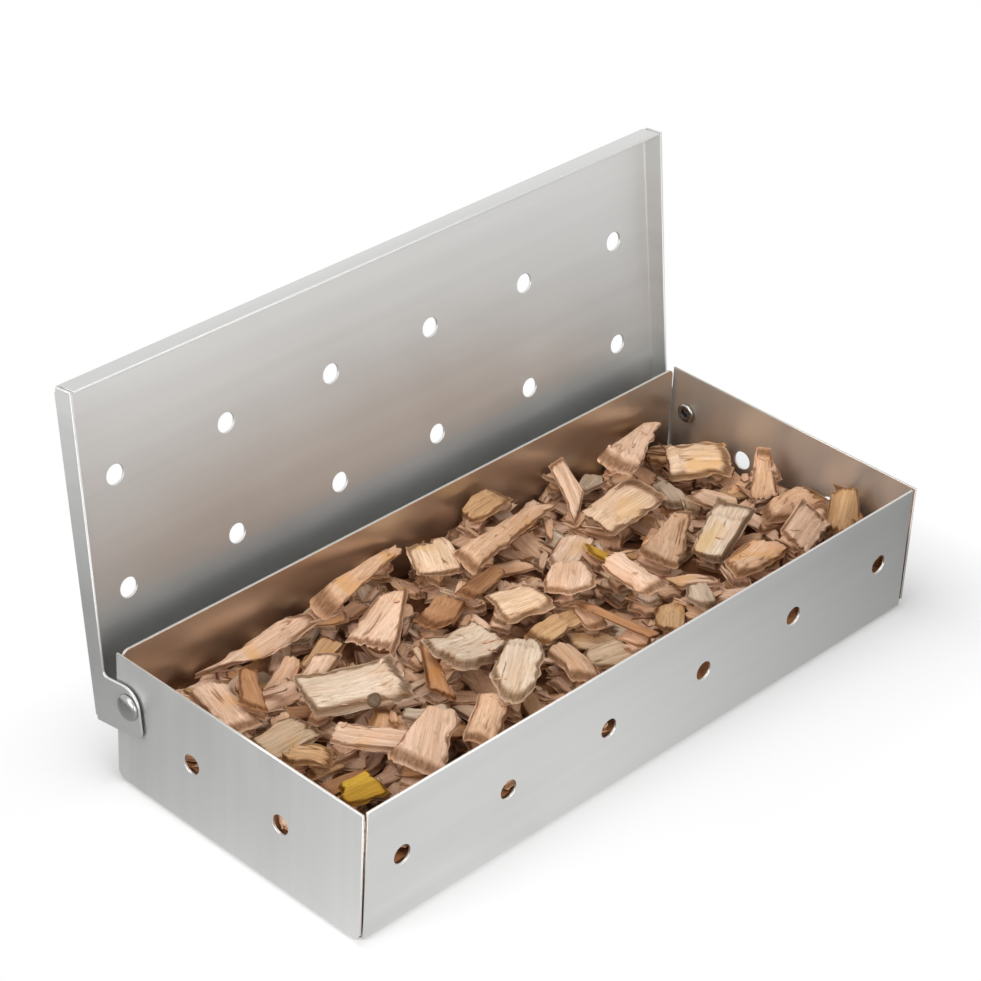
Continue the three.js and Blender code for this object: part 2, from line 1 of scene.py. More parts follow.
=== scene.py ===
# %% [markdown]
# A grill smoker box is a long tray folded from sheet steel and filled with wood chips. A shallow
# lid turns on two rivets at the back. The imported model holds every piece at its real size, so this
# script only dresses it: it folds the steel again as real sheet, with rounded edges and a brushed
# finish, and splits each plain chip into a splintered one. Everything is in metres. The box stands
# on z = 0, its long side runs along X and its front faces -Y.

import json
import math
import random

import bpy
from mathutils import Matrix, Vector, noise
from mathutils.bvhtree import BVHTree
from mathutils.geometry import box_fit_2d, convex_hull_2d, delaunay_2d_cdt

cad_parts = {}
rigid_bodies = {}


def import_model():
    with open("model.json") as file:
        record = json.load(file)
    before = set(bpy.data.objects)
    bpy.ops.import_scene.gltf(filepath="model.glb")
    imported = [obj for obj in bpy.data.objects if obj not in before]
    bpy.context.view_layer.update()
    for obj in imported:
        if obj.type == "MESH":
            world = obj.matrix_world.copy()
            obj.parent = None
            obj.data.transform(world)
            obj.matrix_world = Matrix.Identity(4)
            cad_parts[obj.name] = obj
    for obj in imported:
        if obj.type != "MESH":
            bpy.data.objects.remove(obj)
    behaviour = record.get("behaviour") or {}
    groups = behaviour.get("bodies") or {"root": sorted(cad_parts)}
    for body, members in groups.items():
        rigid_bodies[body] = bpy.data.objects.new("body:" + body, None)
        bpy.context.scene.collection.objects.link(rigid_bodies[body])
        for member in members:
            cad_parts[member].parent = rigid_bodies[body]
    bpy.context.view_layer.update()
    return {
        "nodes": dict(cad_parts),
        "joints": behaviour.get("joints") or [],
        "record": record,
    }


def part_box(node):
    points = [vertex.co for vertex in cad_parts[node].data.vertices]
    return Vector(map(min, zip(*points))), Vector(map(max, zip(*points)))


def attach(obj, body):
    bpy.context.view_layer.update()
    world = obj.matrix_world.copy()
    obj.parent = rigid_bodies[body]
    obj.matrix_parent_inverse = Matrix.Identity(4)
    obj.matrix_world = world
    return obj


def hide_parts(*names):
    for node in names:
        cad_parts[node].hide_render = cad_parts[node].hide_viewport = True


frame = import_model()
nodes = frame["nodes"]
slots = {row["node"]: row["material_slot"] for row in frame["record"]["subparts"]}
colours = {row["slot"]: row["base_color"] for row in frame["record"]["materials"]}
scene = bpy.context.scene
mm = 0.001
print("frame:", len(nodes), "nodes and", len(colours), "finishes")

# %% [markdown]
# The camera stands where the photographer stood: to the left and in front of the box, a little
# under a metre away, looking down on it through a long lens. A long lens from that far keeps the
# long edges almost parallel. The camera is turned by a few degrees about its own line of sight,
# because the box leans a little in the picture. Aiming by angles, and not by a tracking
# constraint, keeps that small roll.

# %% Camera
camera_place = Vector((-0.5619, -0.4942, 0.5469))
camera_heading = math.radians(47.586)
camera_dip = math.radians(32.659)
camera_roll = math.radians(3.02)
camera_lens = 116.35
sensor_width = 36.0

level = math.cos(camera_dip)
ahead = (math.sin(camera_heading) * level, math.cos(camera_heading) * level)
sight = Vector((*ahead, -math.sin(camera_dip)))
level_right = sight.cross(Vector((0, 0, 1))).normalized()
level_up = level_right.cross(sight)
right = level_right * math.cos(camera_roll) + level_up * math.sin(camera_roll)
up = right.cross(sight)

camera_data = bpy.data.cameras.new("camera")
camera_data.lens = camera_lens
camera_data.sensor_width = sensor_width
camera = bpy.data.objects.new("camera", camera_data)
camera.matrix_world = Matrix((right, up, -sight)).transposed().to_4x4()
camera.location = camera_place
scene.collection.objects.link(camera)
scene.camera = camera
print("camera:", round(camera_place.length, 3), "m from the middle of the tray's underside")

# %% [markdown]
# Finishes are built from shader nodes. Adding a node takes three steps in Blender: make it, set its
# values and link its inputs. Short helpers do that, so that each finish below reads like a recipe.
# An input can be a number, a colour or the output of another node.

# %% Helpers for shader nodes
def put(tree, socket, value):
    if isinstance(value, bpy.types.NodeSocket):
        tree.links.new(value, socket)
    else:
        socket.default_value = value


def shade(tree, kind, settings=None, **inputs):
    node = tree.nodes.new("ShaderNode" + kind)
    for name, value in (settings or {}).items():
        setattr(node, name, value)
    for name, value in inputs.items():
        put(tree, node.inputs[name.replace("_", " ")], value)
    return node


def calc(tree, operation, first, second=0.0, clamp=False):
    node = shade(tree, "Math", {"operation": operation, "use_clamp": clamp})
    put(tree, node.inputs[0], first)
    put(tree, node.inputs[1], second)
    return node.outputs[0]


def measured(tree, operation, first, second=None, output=0):
    """The same for places and directions, whose lengths come out as Value"""
    node = shade(tree, "VectorMath", {"operation": operation})
    put(tree, node.inputs[0], first)
    if second is not None:
        put(tree, node.inputs[1], second)
    return node.outputs[output]


def blend_colours(tree, share, first, second, way="MIX"):
    node = shade(tree, "Mix", {"data_type": "RGBA", "blend_type": way})
    for index, value in ((0, share), (6, first), (7, second)):
        put(tree, node.inputs[index], value)
    return node.outputs[2]


def new_finish(name):
    finish = bpy.data.materials.new(name)
    finish.use_nodes = True
    finish.node_tree.nodes.clear()
    return finish, finish.node_tree


def noise_at(tree, place, stretch, detail=2.0, roughness=0.5, distortion=0.0):
    """Noise that repeats about stretch times in a metre along X, Y and Z of the place"""
    texture = shade(tree, "TexNoise", Vector=measured(tree, "MULTIPLY", place, stretch), Scale=1.0)
    for name, value in (("Detail", detail), ("Roughness", roughness), ("Distortion", distortion)):
        texture.inputs[name].default_value = value
    return texture.outputs["Fac"]


def from_to(tree, value, low, high, to_low=0.0, to_high=1.0):
    node = shade(tree, "MapRange", Value=value)
    for name, amount in (("From Min", low), ("From Max", high), ("To Min", to_low), ("To Max", to_high)):
        node.inputs[name].default_value = amount
    return node.outputs["Result"]


def one_of(tree, share, first, second):
    """Mixes two shaders, the second one where the share is 1"""
    mixed = shade(tree, "MixShader", Fac=share)
    tree.links.new(first.outputs[0], mixed.inputs[1])
    tree.links.new(second.outputs[0], mixed.inputs[2])
    return mixed.outputs[0]


print("shader nodes to choose from:", sum(name.startswith("ShaderNode") for name in dir(bpy.types)))

# %% [markdown]
# The studio is white all round. The world lights the box softly from every side, and it looks pure
# white to the camera and in reflections, which is what makes clean steel look like steel. The
# Light Path node tells those rays apart from the ones that carry light, so the white background
# puts no more light on the box.

# %% World
sky_light = 0.46
background_white = 1.0

world = bpy.data.worlds.new("white_studio")
world.use_nodes = True
world.node_tree.nodes.clear()
scene.world = world
tree = world.node_tree
soft = shade(tree, "Background", Color=(1, 1, 1, 1), Strength=sky_light)
white = shade(tree, "Background", Color=(1, 1, 1, 1), Strength=background_white)
rays = shade(tree, "LightPath").outputs
off_surfaces = calc(tree, "MAXIMUM", rays["Is Glossy Ray"], rays["Is Transmission Ray"])
directly = calc(tree, "MAXIMUM", rays["Is Camera Ray"], off_surfaces)
shade(tree, "OutputWorld", Surface=one_of(tree, directly, soft, white))
scene.view_settings.view_transform = "Standard"
print("world:", sky_light, "of white as light,", background_white, "as background")

# %% [markdown]
# The floor is pale and matt. Lamplight falls on it, and close to the box it shows a soft shadow.
# Away from the box it turns into the white of the background, but only for rays that see it
# directly, so the white floor of the photo puts no more light on the box from below. The steel
# mirrors the floor too, and there its white is graded: full near the front left corner, less round
# the rest of the box, and full again farther out. That grading gives the front wall its fade from
# nearly white on the left to mid grey on the right, which an even white floor would wash out.

# %% Floor
floor_reach = 3.0
floor_drop = 0.3 * mm
floor_white = 0.85
footprint = (0.115, 0.048, 0.0)
shadow_reach = 0.045
bright_spot = (-0.06, -0.1, 0.0)
bright_reach, dim_reach, dim_share = 0.05, 0.24, 0.25
mirror_start, mirror_reach = 0.17, 0.34

floor_mesh = bpy.data.meshes.new("floor")
around = ((-1, -1), (1, -1), (1, 1), (-1, 1))
floor_corners = [(x * floor_reach, y * floor_reach, -floor_drop) for x, y in around]
floor_mesh.from_pydata(floor_corners, [], [(0, 1, 2, 3)])
floor = bpy.data.objects.new("floor", floor_mesh)
scene.collection.objects.link(floor)

floor_finish, tree = new_finish("pale_floor")
matt = shade(tree, "BsdfDiffuse", Color=(floor_white, floor_white, floor_white, 1))
spot = shade(tree, "TexCoord").outputs["Object"]
rays = shade(tree, "LightPath").outputs
past_walls = measured(tree, "SUBTRACT", measured(tree, "ABSOLUTE", spot), footprint)
past_walls = measured(tree, "MAXIMUM", past_walls, (0, 0, 0))
from_walls = measured(tree, "LENGTH", past_walls, output="Value")
from_middle = measured(tree, "LENGTH", spot, output="Value")
from_bright = measured(tree, "SUBTRACT", spot, bright_spot)
from_bright = measured(tree, "LENGTH", from_bright, output="Value")

to_camera = calc(tree, "MULTIPLY", rays["Is Camera Ray"], from_to(tree, from_walls, 0.0, shadow_reach))
near_white = from_to(tree, from_bright, bright_reach, dim_reach, 1.0, dim_share)
mirrored = calc(tree, "MAXIMUM", near_white, from_to(tree, from_middle, mirror_start, mirror_reach))
strength = calc(tree, "MAXIMUM", rays["Is Camera Ray"], mirrored)
white = shade(tree, "Emission", Strength=strength)
off_surfaces = calc(tree, "MAXIMUM", rays["Is Glossy Ray"], rays["Is Transmission Ray"])
seen = one_of(tree, calc(tree, "MAXIMUM", to_camera, off_surfaces), matt, white)
shade(tree, "OutputMaterial", Surface=seen)
floor_mesh.materials.append(floor_finish)
print("floor:", 2 * floor_reach, "m across")

# %% [markdown]
# Three soft boxes light the studio, as round a product table. The strongest stands on the left and
# lights the end wall, the lid and the tops of the chips. One hangs overhead. The weakest stands low
# in front, left of the middle, and lifts the front wall and the sides of the chips that face it.

# %% Lamps
def soft_box(name, place, aim, size, power):
    data = bpy.data.lights.new(name, "AREA")
    data.shape = "RECTANGLE"
    data.size, data.size_y = size, size
    data.energy = power
    lamp = bpy.data.objects.new(name, data)
    direction = Vector(aim) - Vector(place)
    lamp.matrix_world = direction.to_track_quat("-Z", "Y").to_matrix().to_4x4()
    lamp.location = place
    scene.collection.objects.link(lamp)
    print(name, "at", round(direction.length, 2), "m")


soft_box("left_light", place=(-0.7, 0.0, 0.3), aim=(0, 0, 0.03), size=0.5, power=2.9)
soft_box("top_light", place=(-0.12, 0.1, 0.8), aim=(0, 0, 0.02), size=0.5, power=1.9)
soft_box("front_light", place=(-0.14, -0.4, 0.16), aim=(-0.07, 0.0, 0.03), size=0.36, power=1.1)

# %% [markdown]
# Brushed stainless steel is a mirror with thousands of fine scratches, all along one direction.
# Each scratch spreads the reflection across itself, so what it mirrors smears at right angles to
# the brushing. The shader's Anisotropic value does that once it is told where the scratches run.
# The sheet was brushed while flat, so the finish reads each point's place on the flat blank, which
# is stored on the mesh, and the scratches turn up the end walls with the fold. A painted reflection
# of the chips tints the tray's inner face a little brown, and the finish finds that face by its depth in the
# sheet.

# %% Steel
sheet = 0.8 * mm
dull_share, bright_share = 1.06, 1.13
# the warm brown of the painted reflection of the chips on the tray's inner face
painted_reflection_tint = (0.95, 0.8, 0.67, 1)
scratch_stretch, streak_stretch, smudge_stretch = (30, 3600, 1200), (4, 150, 60), (24, 28, 26)
shine_spread, smudge_shine = 0.03, (-0.02, 0.04)
scratch_depth, scratch_bump = 0.01 * mm, 0.04


def steel_surface(tree, colour, shine, marks, bump_strength, bump_depth):
    bump = shade(tree, "Bump", Height=marks, Strength=bump_strength, Distance=bump_depth)
    metal = shade(tree, "BsdfPrincipled", Base_Color=colour, Metallic=1.0, Roughness=shine)
    tree.links.new(bump.outputs[0], metal.inputs["Normal"])
    shade(tree, "OutputMaterial", Surface=metal.outputs[0])
    return metal


def tinted(base, *shares):
    """A colour times one share, or one for red, green and blue each"""
    shares = shares * 3 if len(shares) == 1 else shares
    return tuple(min(c * share, 1) for c, share in zip(base, shares)) + (1,)


def brushed_steel(slot, roughness, anisotropy, painted_reflection_share=0.0):
    finish, tree = new_finish(slot)
    blank = shade(tree, "Attribute", {"attribute_name": "blank"}).outputs["Vector"]
    scratches = noise_at(tree, blank, scratch_stretch, detail=4, roughness=0.7)
    streaks = noise_at(tree, blank, streak_stretch, detail=3)
    smudges = noise_at(tree, blank, smudge_stretch, detail=3, distortion=0.6)
    shine = from_to(tree, scratches, 0.3, 0.7, roughness - shine_spread, roughness + shine_spread)
    shine = calc(tree, "ADD", shine, from_to(tree, smudges, 0.35, 0.75, *smudge_shine))
    dull, bright = (tinted(colours[slot], share) for share in (dull_share, bright_share))
    colour = blend_colours(tree, from_to(tree, streaks, 0.3, 0.7), dull, bright)
    depth = shade(tree, "SeparateXYZ", Vector=blank).outputs[2]
    # painted reflection: the inner face is tinted brown as if it mirrored the chips
    wood_reflection_mask = calc(tree, "MULTIPLY", calc(tree, "GREATER_THAN", depth, sheet / 2), painted_reflection_share)
    wood_reflection_mask = calc(tree, "MULTIPLY", wood_reflection_mask, from_to(tree, smudges, 0.3, 0.7, 0.6, 1.0))
    colour = blend_colours(tree, wood_reflection_mask, colour, painted_reflection_tint, "MULTIPLY")
    metal = steel_surface(tree, colour, shine, scratches, scratch_bump, scratch_depth)
    run = shade(tree, "Tangent", {"direction_type": "UV_MAP", "uv_map": "brushing"})
    metal.inputs["Anisotropic"].default_value = anisotropy
    tree.links.new(run.outputs[0], metal.inputs["Tangent"])
    return finish


sheet_finish = brushed_steel("sheet_steel", roughness=0.42, anisotropy=0.75, painted_reflection_share=0.8)
lid_finish = brushed_steel("sheet_steel", roughness=0.52, anisotropy=0.75)
print("steel:", len(sheet_finish.node_tree.nodes), "shader nodes")

# %% [markdown]
# Both steel pieces are folded sheet: a flat blank is cut out with all its holes, and then its
# edges are bent up. The script works the same way. It draws the blank flat, fills it with
# triangles and then sends every point through the folds. That keeps the thickness the same
# everywhere and gives the brushing its true direction, which a box cut out of a solid would not.
# Cut sheet has slightly rounded edges, and each one catches a thin line of light.

# %% One fold
bend_radius = 0.5 * mm
fold = sheet + bend_radius
middle_radius = bend_radius + sheet / 2
quarter = math.pi / 2
bend_length = middle_radius * quarter
bend_steps = 8


def bend(place, flat_half, depth):
    """How far out and how high a point of the blank ends up past one fold, and how far it turned.
    Depth is measured into the sheet from its outer face."""
    past = abs(place) - flat_half
    if past <= 0:
        return place, depth, 0.0
    angle = min(past / middle_radius, quarter)
    out = flat_half + (fold - depth) * math.sin(angle)
    high = fold - (fold - depth) * math.cos(angle) + max(past - bend_length, 0)
    return math.copysign(out, place), high, math.copysign(angle, place)


def folded(x, y, depth, half_x, half_y):
    """The place and the outward direction of a blank's point, with the blank's middle at zero.
    The end walls are the wide ones, so a point past both fold lines belongs to them."""
    if abs(y) <= half_y or abs(x) > half_x + bend_length / 2:
        out, high, angle = bend(x, half_x, depth)
        return Vector((out, y, high)), Vector((math.sin(angle), 0, -math.cos(angle)))
    out, high, angle = bend(y, half_y, depth)
    return Vector((x, out, high)), Vector((0, math.sin(angle), -math.cos(angle)))


def up_the_wall(height):
    """How far past the fold a point at this height lies on the flat blank"""
    return bend_length + height - fold


print("one fold takes", round(bend_length / mm, 2), "mm of the flat blank")

# %% [markdown]
# Folded sheet, turned rivets and carved chips are all built from rings or rows of points, so the
# steps that they share stand here once: joining rings by faces, and making a piece of a mesh.

# %% Faces and pieces
def bands(rings):
    """The faces between each ring of points and the next one"""
    faces = []
    for low, high in zip(rings, rings[1:]):
        faces += zip(low, low[1:] + low[:1], high[1:] + high[:1], high)
    return faces


def flipped(face):
    return (face[0],) + face[:0:-1]


def new_mesh(name, points, faces, finish):
    mesh = bpy.data.meshes.new(name)
    mesh.from_pydata(points, [], faces)
    mesh.materials.append(finish)
    mesh.polygons.foreach_set("use_smooth", [True] * len(mesh.polygons))
    return mesh


def store(mesh, name, vectors):
    """Keeps one vector per point on the mesh, for the finish to read"""
    values = [c for vector in vectors for c in vector]
    mesh.attributes.new(name, "FLOAT_VECTOR", "POINT").data.foreach_set("vector", values)


def new_piece(name, mesh, body, place=None):
    piece = bpy.data.objects.new(name, mesh)
    scene.collection.objects.link(piece)
    if place:
        piece.matrix_world = place
    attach(piece, body)
    return piece


print("faces between two rings of three points:", bands([[0, 1, 2], [3, 4, 5]]))

# %% [markdown]
# The blank is filled by a Delaunay triangulation, which takes any outline with holes and also the
# lines along the bends that it has to keep. The faces stop a little short of every edge, and rings
# of points round the edge off from one face of the sheet to the other. Exact normals are set one by
# one, because a flat panel next to a bend would otherwise be shaded as if it were bent too.

# %% Outlines on the blank
hole_steps = 40


def circle(x, y, radius):
    angles = [2 * math.pi * i / hole_steps for i in range(hole_steps)]
    return [(x + radius * math.cos(angle), y - radius * math.sin(angle)) for angle in angles]


def outward(loop, i):
    """The direction out of the sheet at a corner of a loop, long enough to keep both edges parallel"""
    before, here, after = (Vector(loop[k % len(loop)]) for k in (i - 1, i, i + 1))
    first = (here - before).normalized()
    second = (after - here).normalized()
    both = Vector((first.y + second.y, -first.x - second.x))
    return both * 2 / max(both.length_squared, 1)


def inside(point, loop):
    crossings = 0
    for (x0, y0), (x1, y1) in zip(loop, loop[1:] + loop[:1]):
        if (y0 > point[1]) != (y1 > point[1]):
            crossings += point[0] < x0 + (point[1] - y0) * (x1 - x0) / (y1 - y0)
    return crossings % 2 == 1


print("the middle of a hole is inside it:", inside((0, 0), circle(0, 0, mm)))

# %% Sheet metal from a blank
edge_round = 0.16 * mm
edge_steps = 3
same_point = 1e-7


def fold_sheet(name, loops, lines, shape, finish, node):
    """A closed sheet from the loops of its blank: the outline turns left and the holes turn right.
    The lines join corners of the outline, and the shape sends a point through the folds."""
    ways = [[outward(loop, i) for i in range(len(loop))] for loop in loops]
    drawn = [
        [Vector(point) - way * edge_round for point, way in zip(loop, out)]
        for loop, out in zip(loops, ways)
    ]
    outline, *holes = [[tuple(point) for point in loop] for loop in drawn]
    flat = [point for loop in (outline, *holes) for point in loop]
    starts = [sum(len(loop) for loop in loops[:k]) for k in range(len(loops))]
    edges = []
    for start, loop in zip(starts, loops):
        edges += [(start + i, start + (i + 1) % len(loop)) for i in range(len(loop))]
    placed, _, triangles, origin, _, _ = delaunay_2d_cdt(flat, edges + lines, [], 0, same_point)
    order = {source: i for i, sources in enumerate(origin) for source in sources}

    def in_sheet(face):
        centre = sum((placed[i] for i in face), Vector((0, 0))) / 3
        return inside(centre, outline) and not any(inside(centre, hole) for hole in holes)

    kept = [tuple(face) for face in triangles if in_sheet(face)]
    points, normals, blank = [], [], []

    def add(x, y, depth, normal):
        points.append(shape(x, y, depth)[0])
        normals.append(normal)
        blank.append((x, y, depth))

    for depth, side in ((0, 1), (sheet, -1)):
        for x, y in placed:
            add(x, y, depth, shape(x, y, depth)[1] * side)
    faces = [face[::-1] for face in kept]
    faces += [tuple(len(placed) + i for i in face) for face in kept]

    turns = [(1, step) for step in range(1, edge_steps + 1)]
    turns += [(-1, step) for step in range(edge_steps, 0, -1)]
    for start, inner, out in zip(starts, drawn, ways):
        rings = [[order[start + i] for i in range(len(inner))]]
        for side, step in turns:
            angle = quarter * step / edge_steps
            inset = edge_round * (1 - math.cos(angle))
            depth = inset if side > 0 else sheet - inset
            rings.append([len(points) + i for i in range(len(inner))])
            for point, way in zip(inner, out):
                x, y = point + way * edge_round * math.sin(angle)
                place, facing = shape(x, y, depth)
                further_in = shape(x - way.x * mm, y - way.y * mm, depth)[0]
                edge_way = (place - further_in).normalized()
                add(x, y, depth, facing * math.cos(angle) * side + edge_way * math.sin(angle))
        rings.append([len(placed) + order[start + i] for i in range(len(inner))])
        faces += bands(rings)

    mesh = new_mesh(name, points, faces, finish)
    store(mesh, "blank", blank)
    uv_map = mesh.uv_layers.new(name="brushing")
    for corner, uv in zip(mesh.loops, uv_map.data):
        uv.uv = blank[corner.vertex_index][:2]
    mesh.normals_split_custom_set_from_vertices([normal.normalized() for normal in normals])
    piece = new_piece(name, mesh, node)
    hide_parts(node)
    print(name, "folded:", len(mesh.polygons), "faces")


print("a cut edge is rounded by", round(edge_round / mm, 2), "mm in", 2 * edge_steps, "steps")

# %% [markdown]
# The tray's blank is a cross: the bottom with four walls around it. The end walls are as wide as
# the tray. The front and back walls fit between them, and the slit at each corner opens a little
# towards the rim. The corner is clipped where the folds meet, so that they don't run into each
# other. The sizes come from the frame's box, and the small ones are the sheet worker's own.

# %% The outline of the tray's blank
tray_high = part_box("tray")[1]
tray_half, width_half, tray_height = tray_high.x, tray_high.y, tray_high.z
seam_rim_gap = 0.6 * mm
relief_width = 2.6 * mm
relief_height = 2.7 * mm
back_corner = 2 * mm
vent_radius = 3 * mm
vent_pitch = 40 * mm
vent_height = 21.8 * mm
long_vents = 6
end_vents = 2
end_vent_pitch = 35 * mm
rivet_hole_radius = 2.3 * mm
tiny = 0.01 * mm
hinge = Vector(frame["joints"][0]["pos_m"])
both_sides = (-1, 1)

floor_half_x = tray_half - fold
floor_half_y = width_half - fold


def spread(count, pitch):
    return [(i - (count - 1) / 2) * pitch for i in range(count)]


def clipped(angle):
    """How far in from the outer face the corner is clipped, part of the way round a fold"""
    high = fold - fold * math.cos(angle)
    near = fold - fold * math.sin(angle)
    return max(fold, relief_width * (1 - high / relief_height) - near)


def tray_corner(side, end):
    """The outline round one corner, from the rim of the long wall to the rim of the end wall"""
    rim_x = floor_half_x - seam_rim_gap
    rim_y = floor_half_y + up_the_wall(tray_height)
    turns = [quarter * step / bend_steps for step in range(bend_steps + 1)]
    path = [(rim_x, rim_y)]
    if end > 0:
        path = [
            (rim_x - back_corner * (1 - math.sin(turn)), rim_y - back_corner * (1 - math.cos(turn)))
            for turn in turns
        ]
    path += [(tray_half - clipped(turn), floor_half_y + middle_radius * turn) for turn in turns[:0:-1]]
    path.append((floor_half_x, floor_half_y))
    path += [(floor_half_x + middle_radius * turn, width_half - clipped(turn)) for turn in turns[1:]]
    path += [(floor_half_x + up_the_wall(high), width_half) for high in (relief_height, tray_height)]
    return [(side * x, end * y) for x, y in path]


tray_outline = []
for side, end in ((1, -1), (1, 1), (-1, 1), (-1, -1)):
    tray_outline += tray_corner(side, end)[::1 if side * end < 0 else -1]
print("tray's outline:", len(tray_outline), "corners")

# %% Tray
vent_y = floor_half_y + up_the_wall(vent_height)
vent_x = floor_half_x + up_the_wall(vent_height)
hinge_x = floor_half_x + up_the_wall(hinge.z)
vents = [(x, side * vent_y) for x in spread(long_vents, vent_pitch) for side in both_sides]
vents += [(side * vent_x, y) for y in spread(end_vents, end_vent_pitch) for side in both_sides]
tray_holes = [circle(x, y, vent_radius) for x, y in vents]
tray_holes += [circle(side * hinge_x, hinge.y, rivet_hole_radius) for side in both_sides]


def bend_lines(outline, half_x, half_y):
    """Pairs of outline corners that face each other across a wall, within a fold"""

    def in_fold(place, half):
        return half - tiny < abs(place) < half + bend_length + tiny

    lines = []
    for i, (x0, y0) in enumerate(outline):
        for k in range(i + 1, len(outline)):
            x1, y1 = outline[k]
            level = abs(y0 - y1) < tiny and in_fold(y0, half_y) and abs(x0) <= half_x + tiny
            upright = abs(x0 - x1) < tiny and in_fold(x0, half_x)
            if (level and abs(x0 + x1) < mm) or (upright and abs(y0 + y1) < mm):
                lines.append((i, k))
    return lines


def folded_tray(x, y, depth):
    return folded(x, y, depth, floor_half_x, floor_half_y)


tray_lines = bend_lines(tray_outline, floor_half_x, floor_half_y)
fold_sheet("tray_sheet", [tray_outline] + tray_holes, tray_lines, folded_tray, sheet_finish, "tray")

# %% [markdown]
# The lid is the same kind of sheet with four short flanges. Its side flanges end in the two ears
# that hang on the rivets. It is drawn closed and level, with the hinge line at zero, because its
# sizes are all measured from there, and then it is swung open by the angle at which it rests.

# %% The outline of the lid's blank
lid_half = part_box("lid")[1].x
hinge_inset = width_half - hinge.y
hinge_drop = tray_height - hinge.z
swing_clearance = 0.35 * mm
stop_gap = 0.3 * mm
lid_end_gap = 1.9 * mm
lean = math.radians(7.9)
lid_rise = math.hypot(hinge_inset, hinge_drop) + swing_clearance + sheet
lid_front = hinge.y + width_half + lid_end_gap + sheet
lid_rear = hinge_inset + lid_end_gap + sheet
front_flange = 7.5 * mm
side_flange_rear = 6.3 * mm
wall_reach = hinge_inset + stop_gap + (lid_rear - sheet) * math.sin(lean)
rear_flange = lid_rise - wall_reach / math.cos(lean)
lid_row_inset = 32.4 * mm
lid_row_pitch = 34.7 * mm
lid_rows = 2
ear_reach = 6 * mm
ear_drop = 3.8 * mm
ear_round = 6 * mm
ear_corner = 3 * mm
ear_fillet = 1.6 * mm
arc_steps = 8

lid_middle = (lid_rear - lid_front) / 2
lid_half_x = lid_half - fold
lid_half_y = (lid_rear + lid_front) / 2 - fold


def on_side(y, z):
    """A point of a side flange, given from the hinge line, as a place on the blank"""
    return lid_half_x + up_the_wall(lid_rise - z), lid_middle - y


def arc(y, z, radius, start, stop):
    turns = [start + (stop - start) * i / arc_steps for i in range(arc_steps + 1)]
    return [on_side(y + radius * math.cos(turn), z + radius * math.sin(turn)) for turn in turns]


def lid_side():
    """One side of the blank's outline, from the back corner to the front one"""
    top = lid_rise - fold
    rear_rim = lid_rise - side_flange_rear
    bends = [bend_length * step / bend_steps for step in range(bend_steps + 1)]
    path = [(lid_half_x, -lid_half_y - up_the_wall(rear_flange))]
    path += [(lid_half_x, -lid_half_y - past) for past in reversed(bends)]
    path += [(lid_half_x + past, -lid_half_y) for past in bends[1:]] + [on_side(lid_rear, top)]
    path += arc(lid_rear - ear_corner, ear_corner - ear_drop, ear_corner, 0, -quarter)
    path += arc(ear_round - ear_reach, ear_round - ear_drop, ear_round, -quarter, -2 * quarter)
    path += arc(-(ear_reach + ear_fillet), rear_rim - ear_fillet, ear_fillet, 0, quarter)
    path += [on_side(-lid_front, lid_rise - front_flange), on_side(-lid_front, top)]
    path += [(lid_half_x + past, lid_half_y) for past in reversed(bends)]
    path += [(lid_half_x, lid_half_y + past) for past in bends[1:]]
    return path + [(lid_half_x, lid_half_y + up_the_wall(front_flange))]


lid_outline = lid_side() + [(-x, y) for x, y in reversed(lid_side())]
print("lid's outline:", len(lid_outline), "corners")

# %% Lid
def opened(x, y, depth):
    """Folds a point of the lid's blank, turns the lid over and swings it open about the hinge"""
    place, facing = folded(x, y, depth, lid_half_x, lid_half_y)
    place = Vector((place.x, lid_middle - place.y, lid_rise - place.z))
    swing = Matrix.Rotation(-quarter - lean, 3, "X")
    return hinge + swing @ place, swing @ Vector((facing.x, -facing.y, -facing.z))


lid_row_y = [lid_middle + lid_front - lid_row_inset - i * lid_row_pitch for i in range(lid_rows)]
lid_holes = [circle(x, y, vent_radius) for y in lid_row_y for x in spread(long_vents, vent_pitch)]
ear_hole_x, ear_hole_y = on_side(0, 0)
lid_holes += [circle(side * ear_hole_x, ear_hole_y, rivet_hole_radius) for side in both_sides]
lid_lines = bend_lines(lid_outline, lid_half_x, lid_half_y)
fold_sheet("lid_sheet", [lid_outline] + lid_holes, lid_lines, opened, lid_finish, "lid")

# %% [markdown]
# Each rivet is a stubby tube with a domed head. Its hollow end is rolled over inside the tray, like
# a small doughnut. Everything on it is round about one axis, so it is drawn as half a section and
# turned, as on a lathe. The rims get small rounds of their own, because a polished head is read
# almost only by the highlights on them.

# %% The section of a rivet
head_rim = 0.5 * mm
head_edge = 0.18 * mm
head_height = 1.7 * mm
shank_radius = 2 * mm
roll_radius = 3.1 * mm
roll_height = 1.1 * mm
roll_bore = 1.2 * mm
bore_depth = 2.6 * mm
bore_lip, bore_lip_share = 0.1 * mm, 0.8
rivet_gap = 0.3 * mm
dome_steps, edge_turns, roll_steps = 14, 4, 12


def turns_between(start, stop, steps):
    """Cosines and sines at even steps between two angles"""
    angles = [start + (stop - start) * i / steps for i in range(steps + 1)]
    return [(math.cos(angle), math.sin(angle)) for angle in angles]


